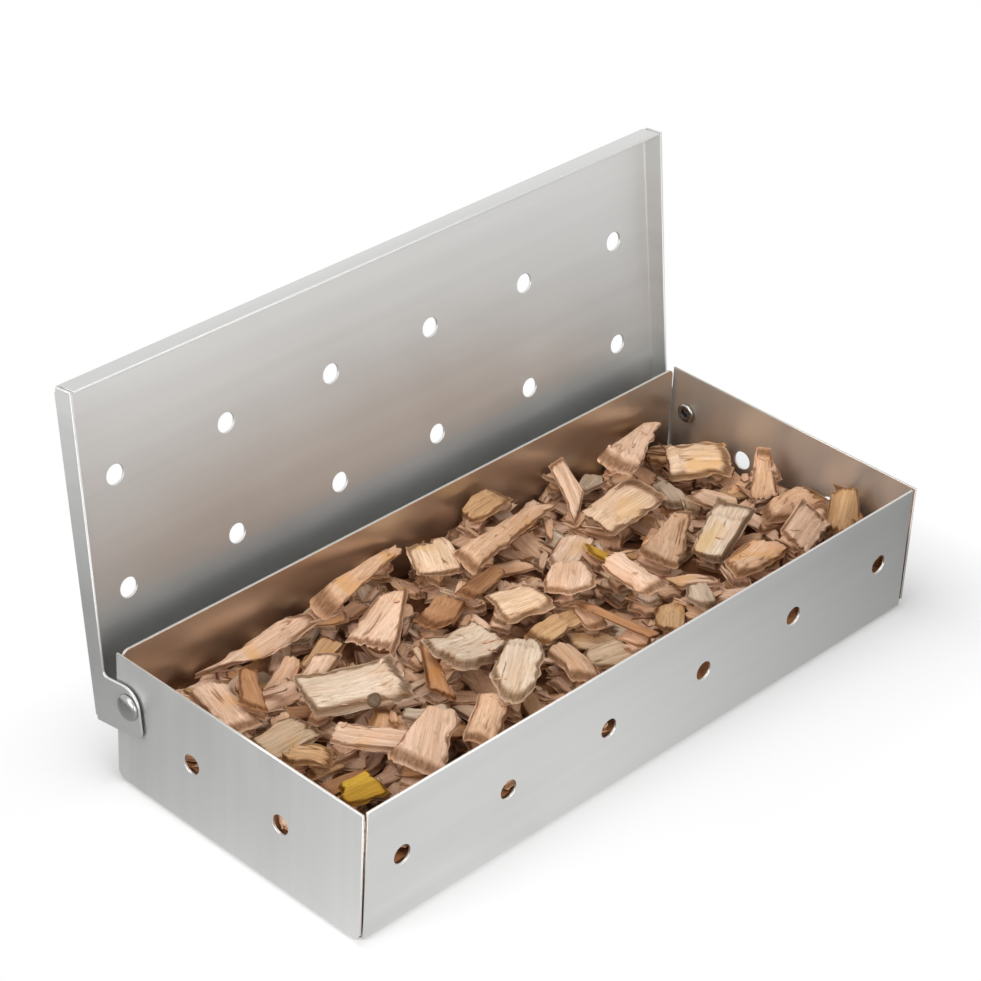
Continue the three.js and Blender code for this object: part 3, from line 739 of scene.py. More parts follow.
def rivet_section(head_radius, grip):
    """Half the section of a rivet as distance from the axis and height over the lid's ear"""
    dome = head_height - head_rim
    crown = turns_between(0, quarter, dome_steps)
    dome_radius = head_radius - head_edge * 0.2
    section = [(dome_radius * out, rivet_gap + head_rim + dome * high) for high, out in crown]
    for out, high in turns_between(0, quarter, edge_turns):
        section.append((head_radius - head_edge + head_edge * out, rivet_gap + head_edge - head_edge * high))
    section += [(shank_radius, rivet_gap), (shank_radius, -grip)]
    lip, half_roll = (roll_radius - roll_bore) / 2, roll_height / 2
    for out, high in turns_between(quarter, -quarter, roll_steps):
        section.append((roll_radius - lip + lip * out, half_roll * high - grip - half_roll))
    section.append((roll_bore + bore_lip, -grip - roll_height * bore_lip_share))
    section += [(roll_bore, -grip - half_roll), (roll_bore, bore_depth - grip - roll_height)]
    return section + [(0.0, bore_depth - grip - roll_height)]


print("section of a rivet:", len(rivet_section(2 * shank_radius, shank_radius)), "points")

# %% Rivets
rivet_sides = 64
crisp_rim = math.radians(50)


def make_rivet(name, side, finish):
    low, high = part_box(name)
    grip = lid_half - tray_half + sheet + rivet_gap
    points, rings = [], []
    for out, height in rivet_section((high.y - low.y) / 2, grip):
        count = rivet_sides if out else 1
        rings.append([len(points) + k for k in range(count)] * (rivet_sides // count))
        for k in range(count):
            turn = 2 * math.pi * k / rivet_sides
            y, z = hinge.y + out * math.cos(turn), hinge.z + out * math.sin(turn)
            points.append((side * (lid_half + height), y, z))
    faces = [flipped(face) if side > 0 else face for face in bands(rings)]
    mesh = new_mesh(name + "_turned", points, [tuple(dict.fromkeys(face)) for face in faces], finish)
    mesh.set_sharp_from_angle(angle=crisp_rim)
    rivet = new_piece(name + "_turned", mesh, "tray")
    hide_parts(name)
    print(rivet.name, "turned:", len(mesh.polygons), "faces")


def polished_steel(slot):
    """Bright steel with faint rings from the tool that set it"""
    finish, tree = new_finish(slot)
    place = shade(tree, "TexCoord").outputs["Object"]
    marks = noise_at(tree, place, stretch=(900, 900, 900), detail=4, roughness=0.6)
    shine = from_to(tree, marks, 0.3, 0.7, 0.2, 0.3)
    colour = blend_colours(tree, marks, *(tinted(colours[slot], share) for share in (0.58, 0.66)))
    steel_surface(tree, colour, shine, marks, bump_strength=0.12, bump_depth=0.03 * mm)
    return finish


rivet_finish = polished_steel("rivet_steel")
for rivet_name, rivet_side in (("rivet_left", -1), ("rivet_right", 1)):
    make_rivet(rivet_name, rivet_side, rivet_finish)

# %% [markdown]
# Wood chips come out of a chipper: its knife cuts a branch across, and the short lengths split
# along the grain. So a chip has two broad split faces with fine ridges that all run one way, ragged
# sides where it tore off its neighbour, and slanting ends. The finish follows the same rule: its
# noise is stretched along the grain until it becomes fibres. Each chip stores where every point
# lies along and across its own grain, so the fibres turn with the chip, and it also stores how
# close a point is to a torn edge and how deep it lies in a crack. Those places are painted darker:
# painted shade in the cracks and on the flanks, and along the torn edges partly painted shade and
# partly the brown of torn fibres.

# %% Wood
dry_lift = {
    "wood_cream": (0.84, 0.83, 0.9), "wood_honey": (1.18, 1.25, 1.62), "wood_rose": (1.37, 1.5, 1.72),
    "wood_tan": (1.42, 1.6, 1.9), "wood_gold": (1.25, 1.5, 2.5), "wood_yellow": (1.1, 1.12, 1.1),
    "wood_brown": (1.55, 1.62, 1.6), "wood_grey": (2.0, 1.85, 1.9),
}
deep_tint, pale_tint = (0.85, 0.76, 0.66), (1.16, 1.19, 1.22)
line_tint, rosy_tint, stain_tint = (0.62, 0.5, 0.4), (1.0, 0.86, 0.78), (1.0, 0.82, 0.48)
fleck_tint, torn_edge_and_shade_tint, crack_shade_tint = (0.5, 0.38, 0.27), (0.47, 0.3, 0.17), (0.4, 0.27, 0.16)
fibre_share, ring_share, hair_share = 0.6, 0.4, 0.35
line_width, line_strength, fleck_strength = 0.035, 0.6, 0.4
fibre_bump, fibre_depth = 0.8, 0.4 * mm
wood_specular = 0.25


def wood(slot):
    finish, tree = new_finish(slot)
    base = [share * lift for share, lift in zip(colours[slot], dry_lift[slot])]
    place = shade(tree, "Attribute", {"attribute_name": "grain"}).outputs["Vector"]
    carved = shade(tree, "Attribute", {"attribute_name": "carved"}).outputs["Vector"]
    edge, crack, own_tone = shade(tree, "SeparateXYZ", Vector=carved).outputs[:3]

    fibres = noise_at(tree, place, (55, 1150, 1150), detail=6, roughness=0.68)
    hairs = noise_at(tree, place, (420, 5200, 5200), detail=3, roughness=0.6)
    rings = noise_at(tree, place, (14, 300, 300), detail=3, distortion=0.5)
    patches = noise_at(tree, place, (95, 120, 120), detail=3, distortion=0.8)
    flecks = noise_at(tree, place, (420, 1000, 1000), detail=3, roughness=0.6)
    threads = noise_at(tree, place, (36, 820, 820), detail=4, roughness=0.6, distortion=0.4)
    stains = noise_at(tree, place, (50, 60, 60), detail=2, distortion=0.5)

    fibrous = calc(tree, "MULTIPLY", fibres, fibre_share)
    mixed = calc(tree, "ADD", fibrous, calc(tree, "MULTIPLY", rings, ring_share))
    off_middle = calc(tree, "ABSOLUTE", calc(tree, "SUBTRACT", threads, 0.5))
    line = from_to(tree, off_middle, 0.0, line_width, 1.0, 0.0)
    fleck = from_to(tree, flecks, 0.64, 0.72)
    ragged = from_to(tree, fibres, 0.36, 0.6, 0.4, 1.0)
    colour = blend_colours(
        tree, from_to(tree, mixed, 0.38, 0.58), tinted(base, *deep_tint), tinted(base, *pale_tint)
    )
    for share, tint in (
        (calc(tree, "MULTIPLY", line, line_strength), line_tint),
        (from_to(tree, patches, 0.45, 0.75, 0.0, 0.6), rosy_tint),
        (from_to(tree, stains, 0.6, 0.7, 0.0, 0.7), stain_tint),
        (calc(tree, "MULTIPLY", fleck, fleck_strength), fleck_tint),
        # darker near torn edges: partly the brown of torn fibres, partly painted shade
        (calc(tree, "MULTIPLY", edge, ragged, clamp=True), torn_edge_and_shade_tint),
        # painted shade in the cracks
        (crack, crack_shade_tint),
    ):
        colour = blend_colours(tree, share, colour, tinted(base, *tint))
    # own_tone is each chip's random tone, and on the flanks it also carries painted shade
    bright = shade(tree, "HueSaturation", Value=own_tone, Color=colour)

    height = calc(tree, "ADD", fibres, calc(tree, "MULTIPLY", hairs, hair_share))
    bump = shade(tree, "Bump", Height=height, Strength=fibre_bump, Distance=fibre_depth)
    shine = from_to(tree, fibres, 0.3, 0.7, 0.95, 0.72)
    surface = shade(tree, "BsdfPrincipled", Base_Color=bright.outputs[0], Roughness=shine)
    surface.inputs["Specular IOR Level"].default_value = wood_specular
    tree.links.new(bump.outputs[0], surface.inputs["Normal"])
    shade(tree, "OutputMaterial", Surface=surface.outputs[0])
    return finish


woods = {slot: wood(slot) for slot in colours if slot.startswith("wood_")}
print("woods:", ", ".join(sorted(woods)))

# %% [markdown]
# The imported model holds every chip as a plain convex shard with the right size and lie. Three
# things can be read off a shard: its broadest pair of faces gives the way it lies, the tightest
# rectangle round it gives the grain, which runs the long way, and the outlines of its lower and
# upper faces give its size. The splintered chip is then carved in that frame.

# %% How a chip lies
same_way = 0.9995
thin_share = 0.66
outline_digits = 6


def extent(values):
    values = list(values)
    return max(values) - min(values)


def grain_frame(points, upward):
    """Axes with the grain along X, and the points and their middle in them"""
    across = Vector((1, 0, 0)).cross(upward).normalized()
    along = across.cross(upward) * -1
    turn = box_fit_2d([(point.dot(along), point.dot(across)) for point in points])
    first = along * math.cos(turn) - across * math.sin(turn)
    second = upward.cross(first)
    longer = extent(p.dot(first) for p in points) >= extent(p.dot(second) for p in points)
    grain = first if longer else second
    axes = Matrix((grain, upward.cross(grain), upward))
    lowest, highest = (Vector(f(p.dot(axis) for p in points) for axis in axes) for f in (min, max))
    middle = (lowest + highest) / 2
    return axes, middle, [axes @ point - middle for point in points]


def outline_of(points):
    flat = list({(round(p.x, outline_digits), round(p.y, outline_digits)) for p in points})
    return [flat[i] for i in convex_hull_2d(flat)]


def set_at(axes, middle):
    """The move that brings a chip carved about zero to these axes and this middle"""
    place = axes.transposed().to_4x4()
    place.translation = axes.transposed() @ middle
    return place


def lie_of(name):
    """A chip's place, its lower and upper outlines in its own axes, and its thickness"""
    mesh = nodes[name].data
    areas = []
    for face in mesh.polygons:
        facing = face.normal if face.normal.z > 0 else -face.normal
        alike = next((row for row in areas if row[0].dot(facing) > same_way), None)
        if alike:
            alike[1] += face.area
        else:
            areas.append([facing.copy(), face.area])
    upward = max(areas, key=lambda row: row[1])[0].normalized()
    axes, middle, own = grain_frame([vertex.co for vertex in mesh.vertices], upward)
    low, high = (outline_of(p for p in own if p.z * side > 0) for side in both_sides)
    full = extent(p.z for p in own)
    thickness = full * thin_share
    return set_at(axes, middle) @ Matrix.Translation((0, 0, (full - thickness) / 2)), low, high, thickness


chip_names = [name for name in nodes if name.startswith("wood_chip_") and name != "wood_chip_bed"]
lies = {name: lie_of(name) for name in chip_names}
longest = max(extent(u for u, v in low) for _, low, _, _ in lies.values())
print("chips:", len(lies), "shards, the longest", round(longest / mm, 1), "mm")

# %% [markdown]
# A chip is carved as a bundle of strands that lie side by side along the grain, the way wood is
# made. Each strand ends where the outline says, less what tore off it, and carries the ridges and
# cracks of its own line. A plain noise bump in the material could not give that ragged outline,
# and it is the outline that shows against the dark gaps between chips. All noise here depends on
# the place and a seed, so the same seed always carves the same chip, and each number that is added
# to the seed below gives one feature a noise of its own.

# %% The torn and split surface
wander_gain = 1.6
clump_width, clump_share = 1.9 * mm, 0.75
single_width, single_share = 0.55 * mm, 0.45
bite_width, bite_share = 6 * mm, 0.045
swell_form = (0.18 * mm, 0, 16 * mm, 8 * mm)
ridge_form = (0.16 * mm, 5, 20 * mm, 1.5 * mm)
fibre_form = (0.1 * mm, 9, 9 * mm, 0.7 * mm)
crack_line = (1.0, 21, 40 * mm, 2.4 * mm)
crack_area = (1.0, 27, 9 * mm, 7 * mm)
crack_depth = 0.4 * mm
crack_edges, crack_area_edges = (0.01, 0.09), (0.35, 0.7)


def near(value, low, high):
    """0 at low, 1 at high, and smooth between"""
    share = min(max((value - low) / (high - low), 0.0), 1.0)
    return share * share * (3 - 2 * share)


def wander(u, v, seed, along, across):
    """Smooth noise from about -1 to 1 that changes over these distances along and across the grain"""
    return noise.noise(Vector((u / along + seed * 1.7, v / across - seed * 3.1, seed * 7.3))) * wander_gain


def waves(u, v, seed, form):
    """Noise of a form: its height, what it adds to the seed, and its two distances"""
    height, seed_step, along, across = form
    return height * wander(u, v, seed + seed_step, along, across)


def span(outline, v):
    """The ends of a convex outline, along the grain, at one place across it"""
    ends = []
    for (u0, v0), (u1, v1) in zip(outline, outline[1:] + outline[:1]):
        if v0 != v1 and min(v0, v1) <= v <= max(v0, v1):
            ends.append(u0 + (u1 - u0) * (v - v0) / (v1 - v0))
    return min(ends), max(ends)


def broken_off(v, reach, length, seed):
    """How far a strand ends short of the outline: clumps and single strands, and whole bites"""
    clumps = abs(wander(0, v, seed, mm, clump_width))
    single = abs(wander(0, v, seed + 40, mm, single_width))
    bite = max(wander(0, v, seed + 10, mm, bite_width), 0)
    return reach * (clump_share * clumps + single_share * single) + bite_share * length * bite


def relief(u, v, seed, rough):
    """The height of the split face and how deep a crack is there"""
    fine = waves(u, v, seed, ridge_form) + waves(u, v, seed, fibre_form)
    where = near(waves(u, v, seed, crack_area), *crack_area_edges)
    crack = (1 - near(abs(waves(u, v, seed, crack_line)), *crack_edges)) * where
    return waves(u, v, seed, swell_form) + fine * rough - crack_depth * crack, crack


heights = [relief(step * mm, 0, seed=1, rough=1)[0] for step in range(40)]
print("along 40 mm a split face rises and falls by", round(extent(heights) / mm, 2), "mm")

# %% [markdown]
# The two broad faces are grids of points: rows along the strands, with one more row close to each
# rim, where a torn edge needs it. The sides between them are rings that wander in and out. Every
# chip has its own flaked top, cup, bow and lean, drawn from its seed, as no two split alike.

# %% Rows and grids
rim_row = 0.25 * mm
least_rows = 5


def rows_between(size, step):
    """Places from 0 to 1 in even rows, with one more row close to each rim"""
    close = rim_row / size
    count = max(least_rows, round(size / step))
    return [0.0, close] + [i / count for i in range(1, count)] + [1 - close, 1.0]


def two_grids(columns, rows):
    """Faces of two grids of points, one facing down and one up, and the rim of each as a loop"""
    row = columns + 1
    plane = row * (rows + 1)
    faces = []
    for corner in (j * row + i for j in range(rows) for i in range(columns)):
        face = (corner, corner + row, corner + row + 1, corner + 1)
        faces += [face, tuple(plane + i for i in flipped(face))]
    loop = list(range(row)) + [j * row + columns for j in range(1, rows + 1)]
    loop += [rows * row + i for i in range(columns - 1, -1, -1)]
    loop += [j * row for j in range(rows - 1, 0, -1)]
    return faces, loop, [plane + i for i in loop]


print("rows across 10 mm of wood:", len(rows_between(10 * mm, mm)))

# %% Carving a chip
corner_round = 0.7 * mm
torn_range, tone_range, flake_range = (0.3, 2.2), (0.86, 1.12), (0.15, 0.32)
flake_place, bow_most, bow_level = 0.9, 0.35, 0.35
first_strand, strand_reach = 0.015, 0.97
fray_most, fray_share, fray_least, fray_gain = 0.8 * mm, 0.06, 0.35, 0.9
fray_length, flank_length, flank_share = 3.2 * mm, 8 * mm, 0.07
fade_from, fade_to = -0.2 * mm, 1.4 * mm
side_drop, fade_drop, taper_share = 0.08, 0.05, 0.22
flake_ragged, flake_width, flake_slope = 0.09, 1.3 * mm, 0.7 * mm
end_dark, side_dark, side_dark_share, dark_share = 0.5 * mm, 0.4 * mm, 0.8, 0.4
side_rings, side_push, side_length, side_width = (0.33, 0.67), 0.28 * mm, 1.1 * mm, 0.8 * mm
flank_shade_share = 0.62


def carve(low, high, thickness, seed, strand=0.45 * mm, stride=1.1 * mm, rough=1.0, curl=0.0):
    """The points, faces and stored values of one chip, from its outlines and a seed"""
    chance = random.Random(seed)
    torn = [chance.uniform(*torn_range) * mm for _ in both_sides]
    flake = chance.uniform(-flake_place, flake_place)
    cup, bow = (chance.uniform(-bow_most, bow_most) for _ in both_sides)
    own_tone = chance.uniform(*tone_range)
    flake_height = chance.uniform(*flake_range) * thickness
    lean_side = chance.choice(both_sides)
    offset = Vector([chance.uniform(0, 3) for _ in range(3)])
    sides = [(min(v for u, v in outline), max(v for u, v in outline)) for outline in (low, high)]
    width = sides[0][1] - sides[0][0]
    length = extent(u for u, v in low)
    across, along = rows_between(width, strand), rows_between(length, stride)
    points, carved = [], []
    for level, (outline, (first, last)) in enumerate(zip((low, high), sides)):
        facing = 1 if level else -1
        for b in across:
            v = first + (last - first) * (first_strand + strand_reach * b)
            off = abs(2 * b - 1)
            side = math.copysign(1, b - 0.5)
            start, stop = span(outline, v)
            start += broken_off(v, torn[0], length, seed + 60) + corner_round * off ** 6
            stop -= broken_off(v, torn[1], length, seed + 80) + corner_round * off ** 6
            stop = max(stop, start + mm)
            from_side = min(b, 1 - b) * width
            fray_depth = min(fray_most, width * fray_share) * off ** 5
            bite_depth = flank_share * width * off ** 1.5
            taper = taper_share * thickness * near(lean_side * (2 * b - 1), -0.4, 1)
            for a in along:
                u = start + (stop - start) * a
                fray = fray_least + fray_gain * wander(u, side * mm, seed + 33 + level, fray_length, mm)
                bite = max(wander(u, side * mm, seed + 37, flank_length, mm), 0)
                y = v - side * (fray_depth * fray + bite_depth * bite)
                from_end = min(a, 1 - a) * (stop - start)
                rise, crack = relief(u, y, seed + 100 * level, rough)
                fade = near(min(from_end, from_side), fade_from, fade_to)
                drop = side_drop * (1 - near(from_side, 0, mm)) + fade_drop * (1 - fade)
                z = facing * (thickness / 2 - thickness * drop - taper + rise * (0.35 + 0.65 * fade))
                if level:
                    ragged = flake_ragged * length * wander(0, y, seed + 50, mm, flake_width)
                    z -= flake_height * near(u - flake * length / 2 - ragged, 0, flake_slope)
                z -= thickness * (cup * (off ** 2 - bow_level) + bow * ((2 * a - 1) ** 2 - bow_level))
                z -= curl * width * (off ** 2 - 0.5)
                points.append(Vector((u, y, z)))
                # darker near the torn ends and sides: partly torn fibres, partly painted shade along the
                # edges
                by_side = side_dark_share * (1 - near(from_side, 0, side_dark))
                close = max(1 - near(from_end, 0, end_dark), by_side)
                carved.append((close * dark_share, crack, own_tone))
    faces, low_loop, high_loop = two_grids(len(along) - 1, len(across) - 1)
    centre = sum((points[i] for i in low_loop), Vector()) / len(low_loop)
    rings = [low_loop]
    for share in side_rings:
        rings.append([len(points) + k for k in range(len(low_loop))])
        for i, k in zip(low_loop, high_loop):
            place = points[i].lerp(points[k], share)
            out = (place - centre).normalized()
            push = side_push * wander(place.x, place.y, seed + 200 + share * 10, side_length, side_width)
            points.append(place + Vector((out.x * push, out.y * push, 0)))
            # painted shade: the flanks are darker than the broad faces
            carved.append((1.0, 0.0, own_tone * flank_shade_share))
    faces += bands(rings + [high_loop])
    return points, faces, [point + offset for point in points], carved


board = [(-10 * mm, -5 * mm), (10 * mm, -5 * mm), (10 * mm, 5 * mm), (-10 * mm, 5 * mm)]
print("a chip of 20 x 10 mm takes", len(carve(board, board, 3 * mm, seed=1)[1]), "faces")

# %% [markdown]
# One mesh can hold one chip or a whole handful, so carved chips are laid into a pile first and the
# pile becomes a piece. Smooth shading rounds the ridges, and edges sharper than a fold of paper
# stay crisp.

# %% Piles of chips
crisp_edge = math.radians(48)
wall_room = 0.25 * mm
rivet_room = 4.2 * mm
rivet_reach = 2.2 * mm


def inside_walls(point):
    """Pushes a point back inside the walls, and down where a rivet's rolled end stands in the tray"""
    limit_x, limit_y = tray_half - sheet - wall_room, width_half - sheet - wall_room
    x, y = max(-limit_x, min(limit_x, point.x)), max(-limit_y, min(limit_y, point.y))
    by_rivet = abs(x) > limit_x - rivet_reach and abs(y - hinge.y) < rivet_room
    return Vector((x, y, min(point.z, hinge.z - rivet_room) if by_rivet else point.z))


def new_pile():
    return {"points": [], "faces": [], "grain": [], "carved": []}


def lay(pile, chip, place=None):
    """Adds a carved chip to a pile, turned and moved to its place in the tray"""
    points, faces, grain, carved = chip
    start = len(pile["points"])
    pile["points"] += [inside_walls(place @ point) for point in points] if place else points
    pile["faces"] += [tuple(start + i for i in face) for face in faces]
    pile["grain"] += grain
    pile["carved"] += carved


def make_wood_piece(name, pile, slot, place=None):
    mesh = new_mesh(name, pile["points"], pile["faces"], woods[slot])
    store(mesh, "grain", pile["grain"])
    store(mesh, "carved", pile["carved"])
    mesh.set_sharp_from_angle(angle=crisp_edge)
    return new_piece(name, mesh, "tray", place)


chip_faces = 0
for number, (name, (place, low, high, thickness)) in enumerate(lies.items()):
    pile = new_pile()
    lay(pile, carve(low, high, thickness, seed=number + 1))
    chip = make_wood_piece(name + "_split", pile, slots[name], place)
    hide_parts(name)
    chip_faces += len(chip.data.polygons)
print("split chips:", len(lies), "with", chip_faces, "faces")

# %% [markdown]
# Under the chips that show, the tray is full of others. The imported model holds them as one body,
# and its surface is made of flat tops, one for each chip. Faces that share a plane are one top, so
# the tops can be gathered again, and each one gives a chip its lie and its outline. What lies
# deeper than its neighbours is the bank between the tops, and no chip is carved for it.

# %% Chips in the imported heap
bed = nodes["wood_chip_bed"].data
steepest_top = 0.8
least_top = 16 * mm * mm
same_plane = 0.2 * mm
reach_around = 17 * mm
bank_below = 2.9 * mm


def tops_of(mesh):
    """The flat tops of a mesh, each as its upward axis, its corner points and its middle"""
    groups = {}
    for face in mesh.polygons:
        if face.normal.z > steepest_top:
            depth = face.normal.dot(face.center)
            key = tuple(round(c, 2) for c in face.normal) + (round(depth / same_plane),)
            groups.setdefault(key, []).append(face)
    found = []
    for faces in groups.values():
        area = sum(face.area for face in faces)
        if area > least_top:
            middle = sum((face.center * face.area for face in faces), Vector()) / area
            corners = {i for face in faces for i in face.vertices}
            found.append((faces[0].normal.copy(), [mesh.vertices[i].co for i in corners], middle))
    return found


tops = tops_of(bed)
chip_tops = []
for facing, corners, middle in tops:
    around = [other[2].z for other in tops if (other[2] - middle).xy.length < reach_around]
    if middle.z > max(around) - bank_below:
        chip_tops.append((facing, corners))
print("tops in the packed heap:", len(tops), "of which chips:", len(chip_tops))

# %% [markdown]
# The heap is then built from below: a lumpy core fills the middle, its dark brown a painted shade
# deep in the heap, and chips of several sizes cover it. The core's surface follows the lowest points
# of the imported heap round every place, so it stays out of sight and only closes the gaps that
# would otherwise look through to the bottom.

# %% The core of the heap
bed_rays = BVHTree.FromPolygons([v.co for v in bed.vertices], [p.vertices[:] for p in bed.polygons])
drop_height = 0.06
inner_half = tray_half - sheet
inner_width_half = width_half - sheet
core_gap = 1.2 * mm
core_sink = 1.2 * mm
core_reach = 2.5 * mm
core_lump = (0.9 * mm, 3, 6 * mm, 5 * mm)
core_floor = sheet + 0.4 * mm
core_columns, core_rows = 90, 38
# painted shade: the core is darkened at its edges and in its tone
core_shade_values = (0.6, 0.0, 0.85)


def top_at(tree, x, y, otherwise):
    """The height of whatever a ray that falls at this place meets first"""
    hit = tree.ray_cast(Vector((x, y, drop_height)), Vector((0, 0, -1)))[0]
    return hit.z if hit else otherwise


def lowest_around(x, y, reach):
    """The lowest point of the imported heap's surface near a place, which is the bank's height there"""
    steps = (-reach, 0, reach)
    return min(top_at(bed_rays, x + dx, y + dy, 1) for dx in steps for dy in steps)


core_points = []
for level in (0, 1):
    for j in range(core_rows + 1):
        for i in range(core_columns + 1):
            x = (i / core_columns - 0.5) * 2 * (inner_half - core_gap)
            y = (j / core_rows - 0.5) * 2 * (inner_width_half - core_gap)
            surface = lowest_around(x, y, core_reach) - core_sink + waves(x, y, 0, core_lump)
            core_points.append(Vector((x, y, surface if level else core_floor)))
core_faces, low_loop, high_loop = two_grids(core_columns, core_rows)
core_faces += bands([low_loop, high_loop])
core = new_pile()
lay(core, (core_points, core_faces, core_points, [core_shade_values] * len(core_points)))
core_piece = make_wood_piece("heap_core", core, "wood_brown")
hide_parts("wood_chip_bed")
print("core:", len(core_faces), "faces")

# %% [markdown]
# A real heap mixes the pale wood of young branches with darker heartwood. The chips on the tops are
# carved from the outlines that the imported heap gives, and drawn from six tones by weight, so that
# most are rose and tan and a few are pale or dark, as in the photo.

# %% Chips on the tops
heap_tones = ("wood_rose", "wood_tan", "wood_honey", "wood_brown", "wood_gold", "wood_cream")
tone_shares = (7, 6, 3, 1, 1, 2)
piles = {tone: new_pile() for tone in heap_tones}
chance = random.Random(11)
seed_range = 10000
top_thickness = 2.6 * mm
lower_face_share = 1.16


def any_tone(source):
    return source.choices(heap_tones, tone_shares)[0]


for facing, corners in chip_tops:
    axes, centre, own = grain_frame(corners, facing)
    high = outline_of(own)
    low = [(u * lower_face_share, v * lower_face_share) for u, v in high]
    seed = chance.randrange(seed_range)
    chip = carve(low, high, top_thickness, seed, strand=0.6 * mm, stride=1.4 * mm)
    place = set_at(axes, centre - Vector((0, 0, top_thickness / 2)))
    lay(piles[any_tone(chance)], chip, place)
print("chips carved on tops:", len(chip_tops))

# %% [markdown]
# Between the tops the heap sinks to the bank, and smaller chips lie there. They are laid on a
# loose grid, at the height that a falling ray meets, so that none hangs in the air. Along the back
# and right walls, where the heap in the photo stands a little higher, they go in everywhere.

# %% Small chips on the bank between them
small_pitch = 8 * mm
wall_strip = 11 * mm
small_reach = 7 * mm
side_room = 0.5 * mm
upper_share = 0.86
small_rough = 1.1


def small_outline(length, width):
    """A lopsided five-cornered outline and the smaller one of its upper face"""
    draw = chance.uniform
    corners = [(-0.5, draw(-0.5, 0)), (draw(-0.3, 0), -0.5), (0.5, draw(-0.5, -0.1))]
    corners += [(draw(0.3, 0.5), 0.5), (draw(-0.5, -0.2), draw(0.3, 0.5))]
    slide = draw(-0.1, 0.1)
    low = [(u * length, v * width) for u, v in corners]
    return low, [((u * upper_share + slide) * length, v * upper_share * width) for u, v in corners]


def turned(*turns):
    """Several turns in one, each given as its axis and its angle"""
    total = Matrix.Identity(4)
    for axis, angle in turns:
        total = total @ Matrix.Rotation(angle, 4, axis)
    return total


def lay_small(x, y, z, length, width, thickness, tone, tilt, strand, stride):
    """Carves a small chip and lays it about a point, pushed back inside the walls where it must be"""
    low, high = small_outline(length, width)
    chip = carve(low, high, thickness, chance.randrange(seed_range), strand, stride, small_rough)
    turn = turned(
        ("Z", chance.uniform(0, 2 * math.pi)),
        ("X", chance.uniform(-tilt, tilt)), ("Y", chance.uniform(-tilt, tilt)),
    )
    reach = [turn @ point for point in chip[0]]
    half = [max(abs(point[axis]) for point in reach) for axis in (0, 1)]
    limits = [inner_half - side_room - half[0], inner_width_half - side_room - half[1]]
    x, y = (max(-limit, min(limit, value)) for limit, value in zip(limits, (x, y)))
    lay(piles[tone], chip, Matrix.Translation((x, y, z)) @ turn)


small_count = 0
for i in range(int(2 * inner_half / small_pitch)):
    for j in range(int(2 * inner_width_half / small_pitch)):
        x = (i + chance.uniform(0.1, 0.9)) * small_pitch - inner_half
        y = (j + chance.uniform(0.1, 0.9)) * small_pitch - inner_width_half
        height = top_at(bed_rays, x, y, 0)
        by_wall = y > inner_width_half - wall_strip or x > inner_half - wall_strip
        if height > lowest_around(x, y, small_reach) + bank_below and not by_wall:
            continue
        tone = any_tone(chance)
        length, width = chance.uniform(12, 21) * mm, chance.uniform(6, 11) * mm
        z = height + (chance.uniform(0.5, 3.5) if by_wall else chance.uniform(-0.6, 0.4)) * mm
        thickness = chance.uniform(1.2, 2) * mm
        lay_small(x, y, z, length, width, thickness, tone, tilt=0.3, strand=0.7 * mm, stride=1.6 * mm)
        small_count += 1
print("small chips:", small_count)

# %% [markdown]
# A few chips have slid down against the back wall and the right end wall and lean on them, in front
# of the vents. Each is set steeply, by its place along the wall in millimetres.

# %% Chips that lean on the walls
leaning = (
    (-20, 0, 0, "wood_rose", 21, 13), (20, 0, 0, "wood_tan", 22, 14), (60, 0, 0, "wood_rose", 17, 11),
    (0, -17.5, 1, "wood_gold", 24, 15),
)
lean_back = math.radians(62)
lean_gap = 3.5 * mm
lean_drop = 1.5 * mm
lean_turn = 0.3
lean_thickness = 2 * mm

for along_wall, across_wall, at_end, tone, length, width in leaning:
    low, high = small_outline(length * mm, width * mm)
    chip = carve(low, high, lean_thickness, chance.randrange(seed_range), strand=0.5 * mm)
    if at_end:
        place = Vector((inner_half - lean_gap, across_wall * mm, vent_height - lean_drop))
        turn = turned(("Y", -lean_back), ("Z", quarter))
    else:
        place = Vector((along_wall * mm, inner_width_half - lean_gap, vent_height - lean_drop))
        turn = turned(("X", lean_back))
    turn = turn @ turned(("Z", chance.uniform(-lean_turn, lean_turn)))
    lay(piles[tone], chip, Matrix.Translation(place) @ turn)
print("chips leaning on the walls:", len(leaning))

# %% [markdown]
# One broad chip on the left has a knot: the foot of a twig, dark and round. It is a low dome with a
# groove near its rim, set on the nearest point of that chip's side. A dark spot in the finish would
# not stand out from the side as a knot does.

# %% Knot
knot_aim = Vector((-0.0705, -0.008, 0.034))
knot_way = Vector((-0.5, -0.8, 0.35)).normalized()
knot_radius, knot_rise, knot_rings, knot_sides = 2.1 * mm, 0.5 * mm, 7, 28
knot_lift, knot_wobble, knot_tone = 0.2 * mm, 0.12, 0.3
groove_depth, groove_at, groove_width, knot_foot = 0.25 * mm, 0.78, 0.1, 1.2 * mm

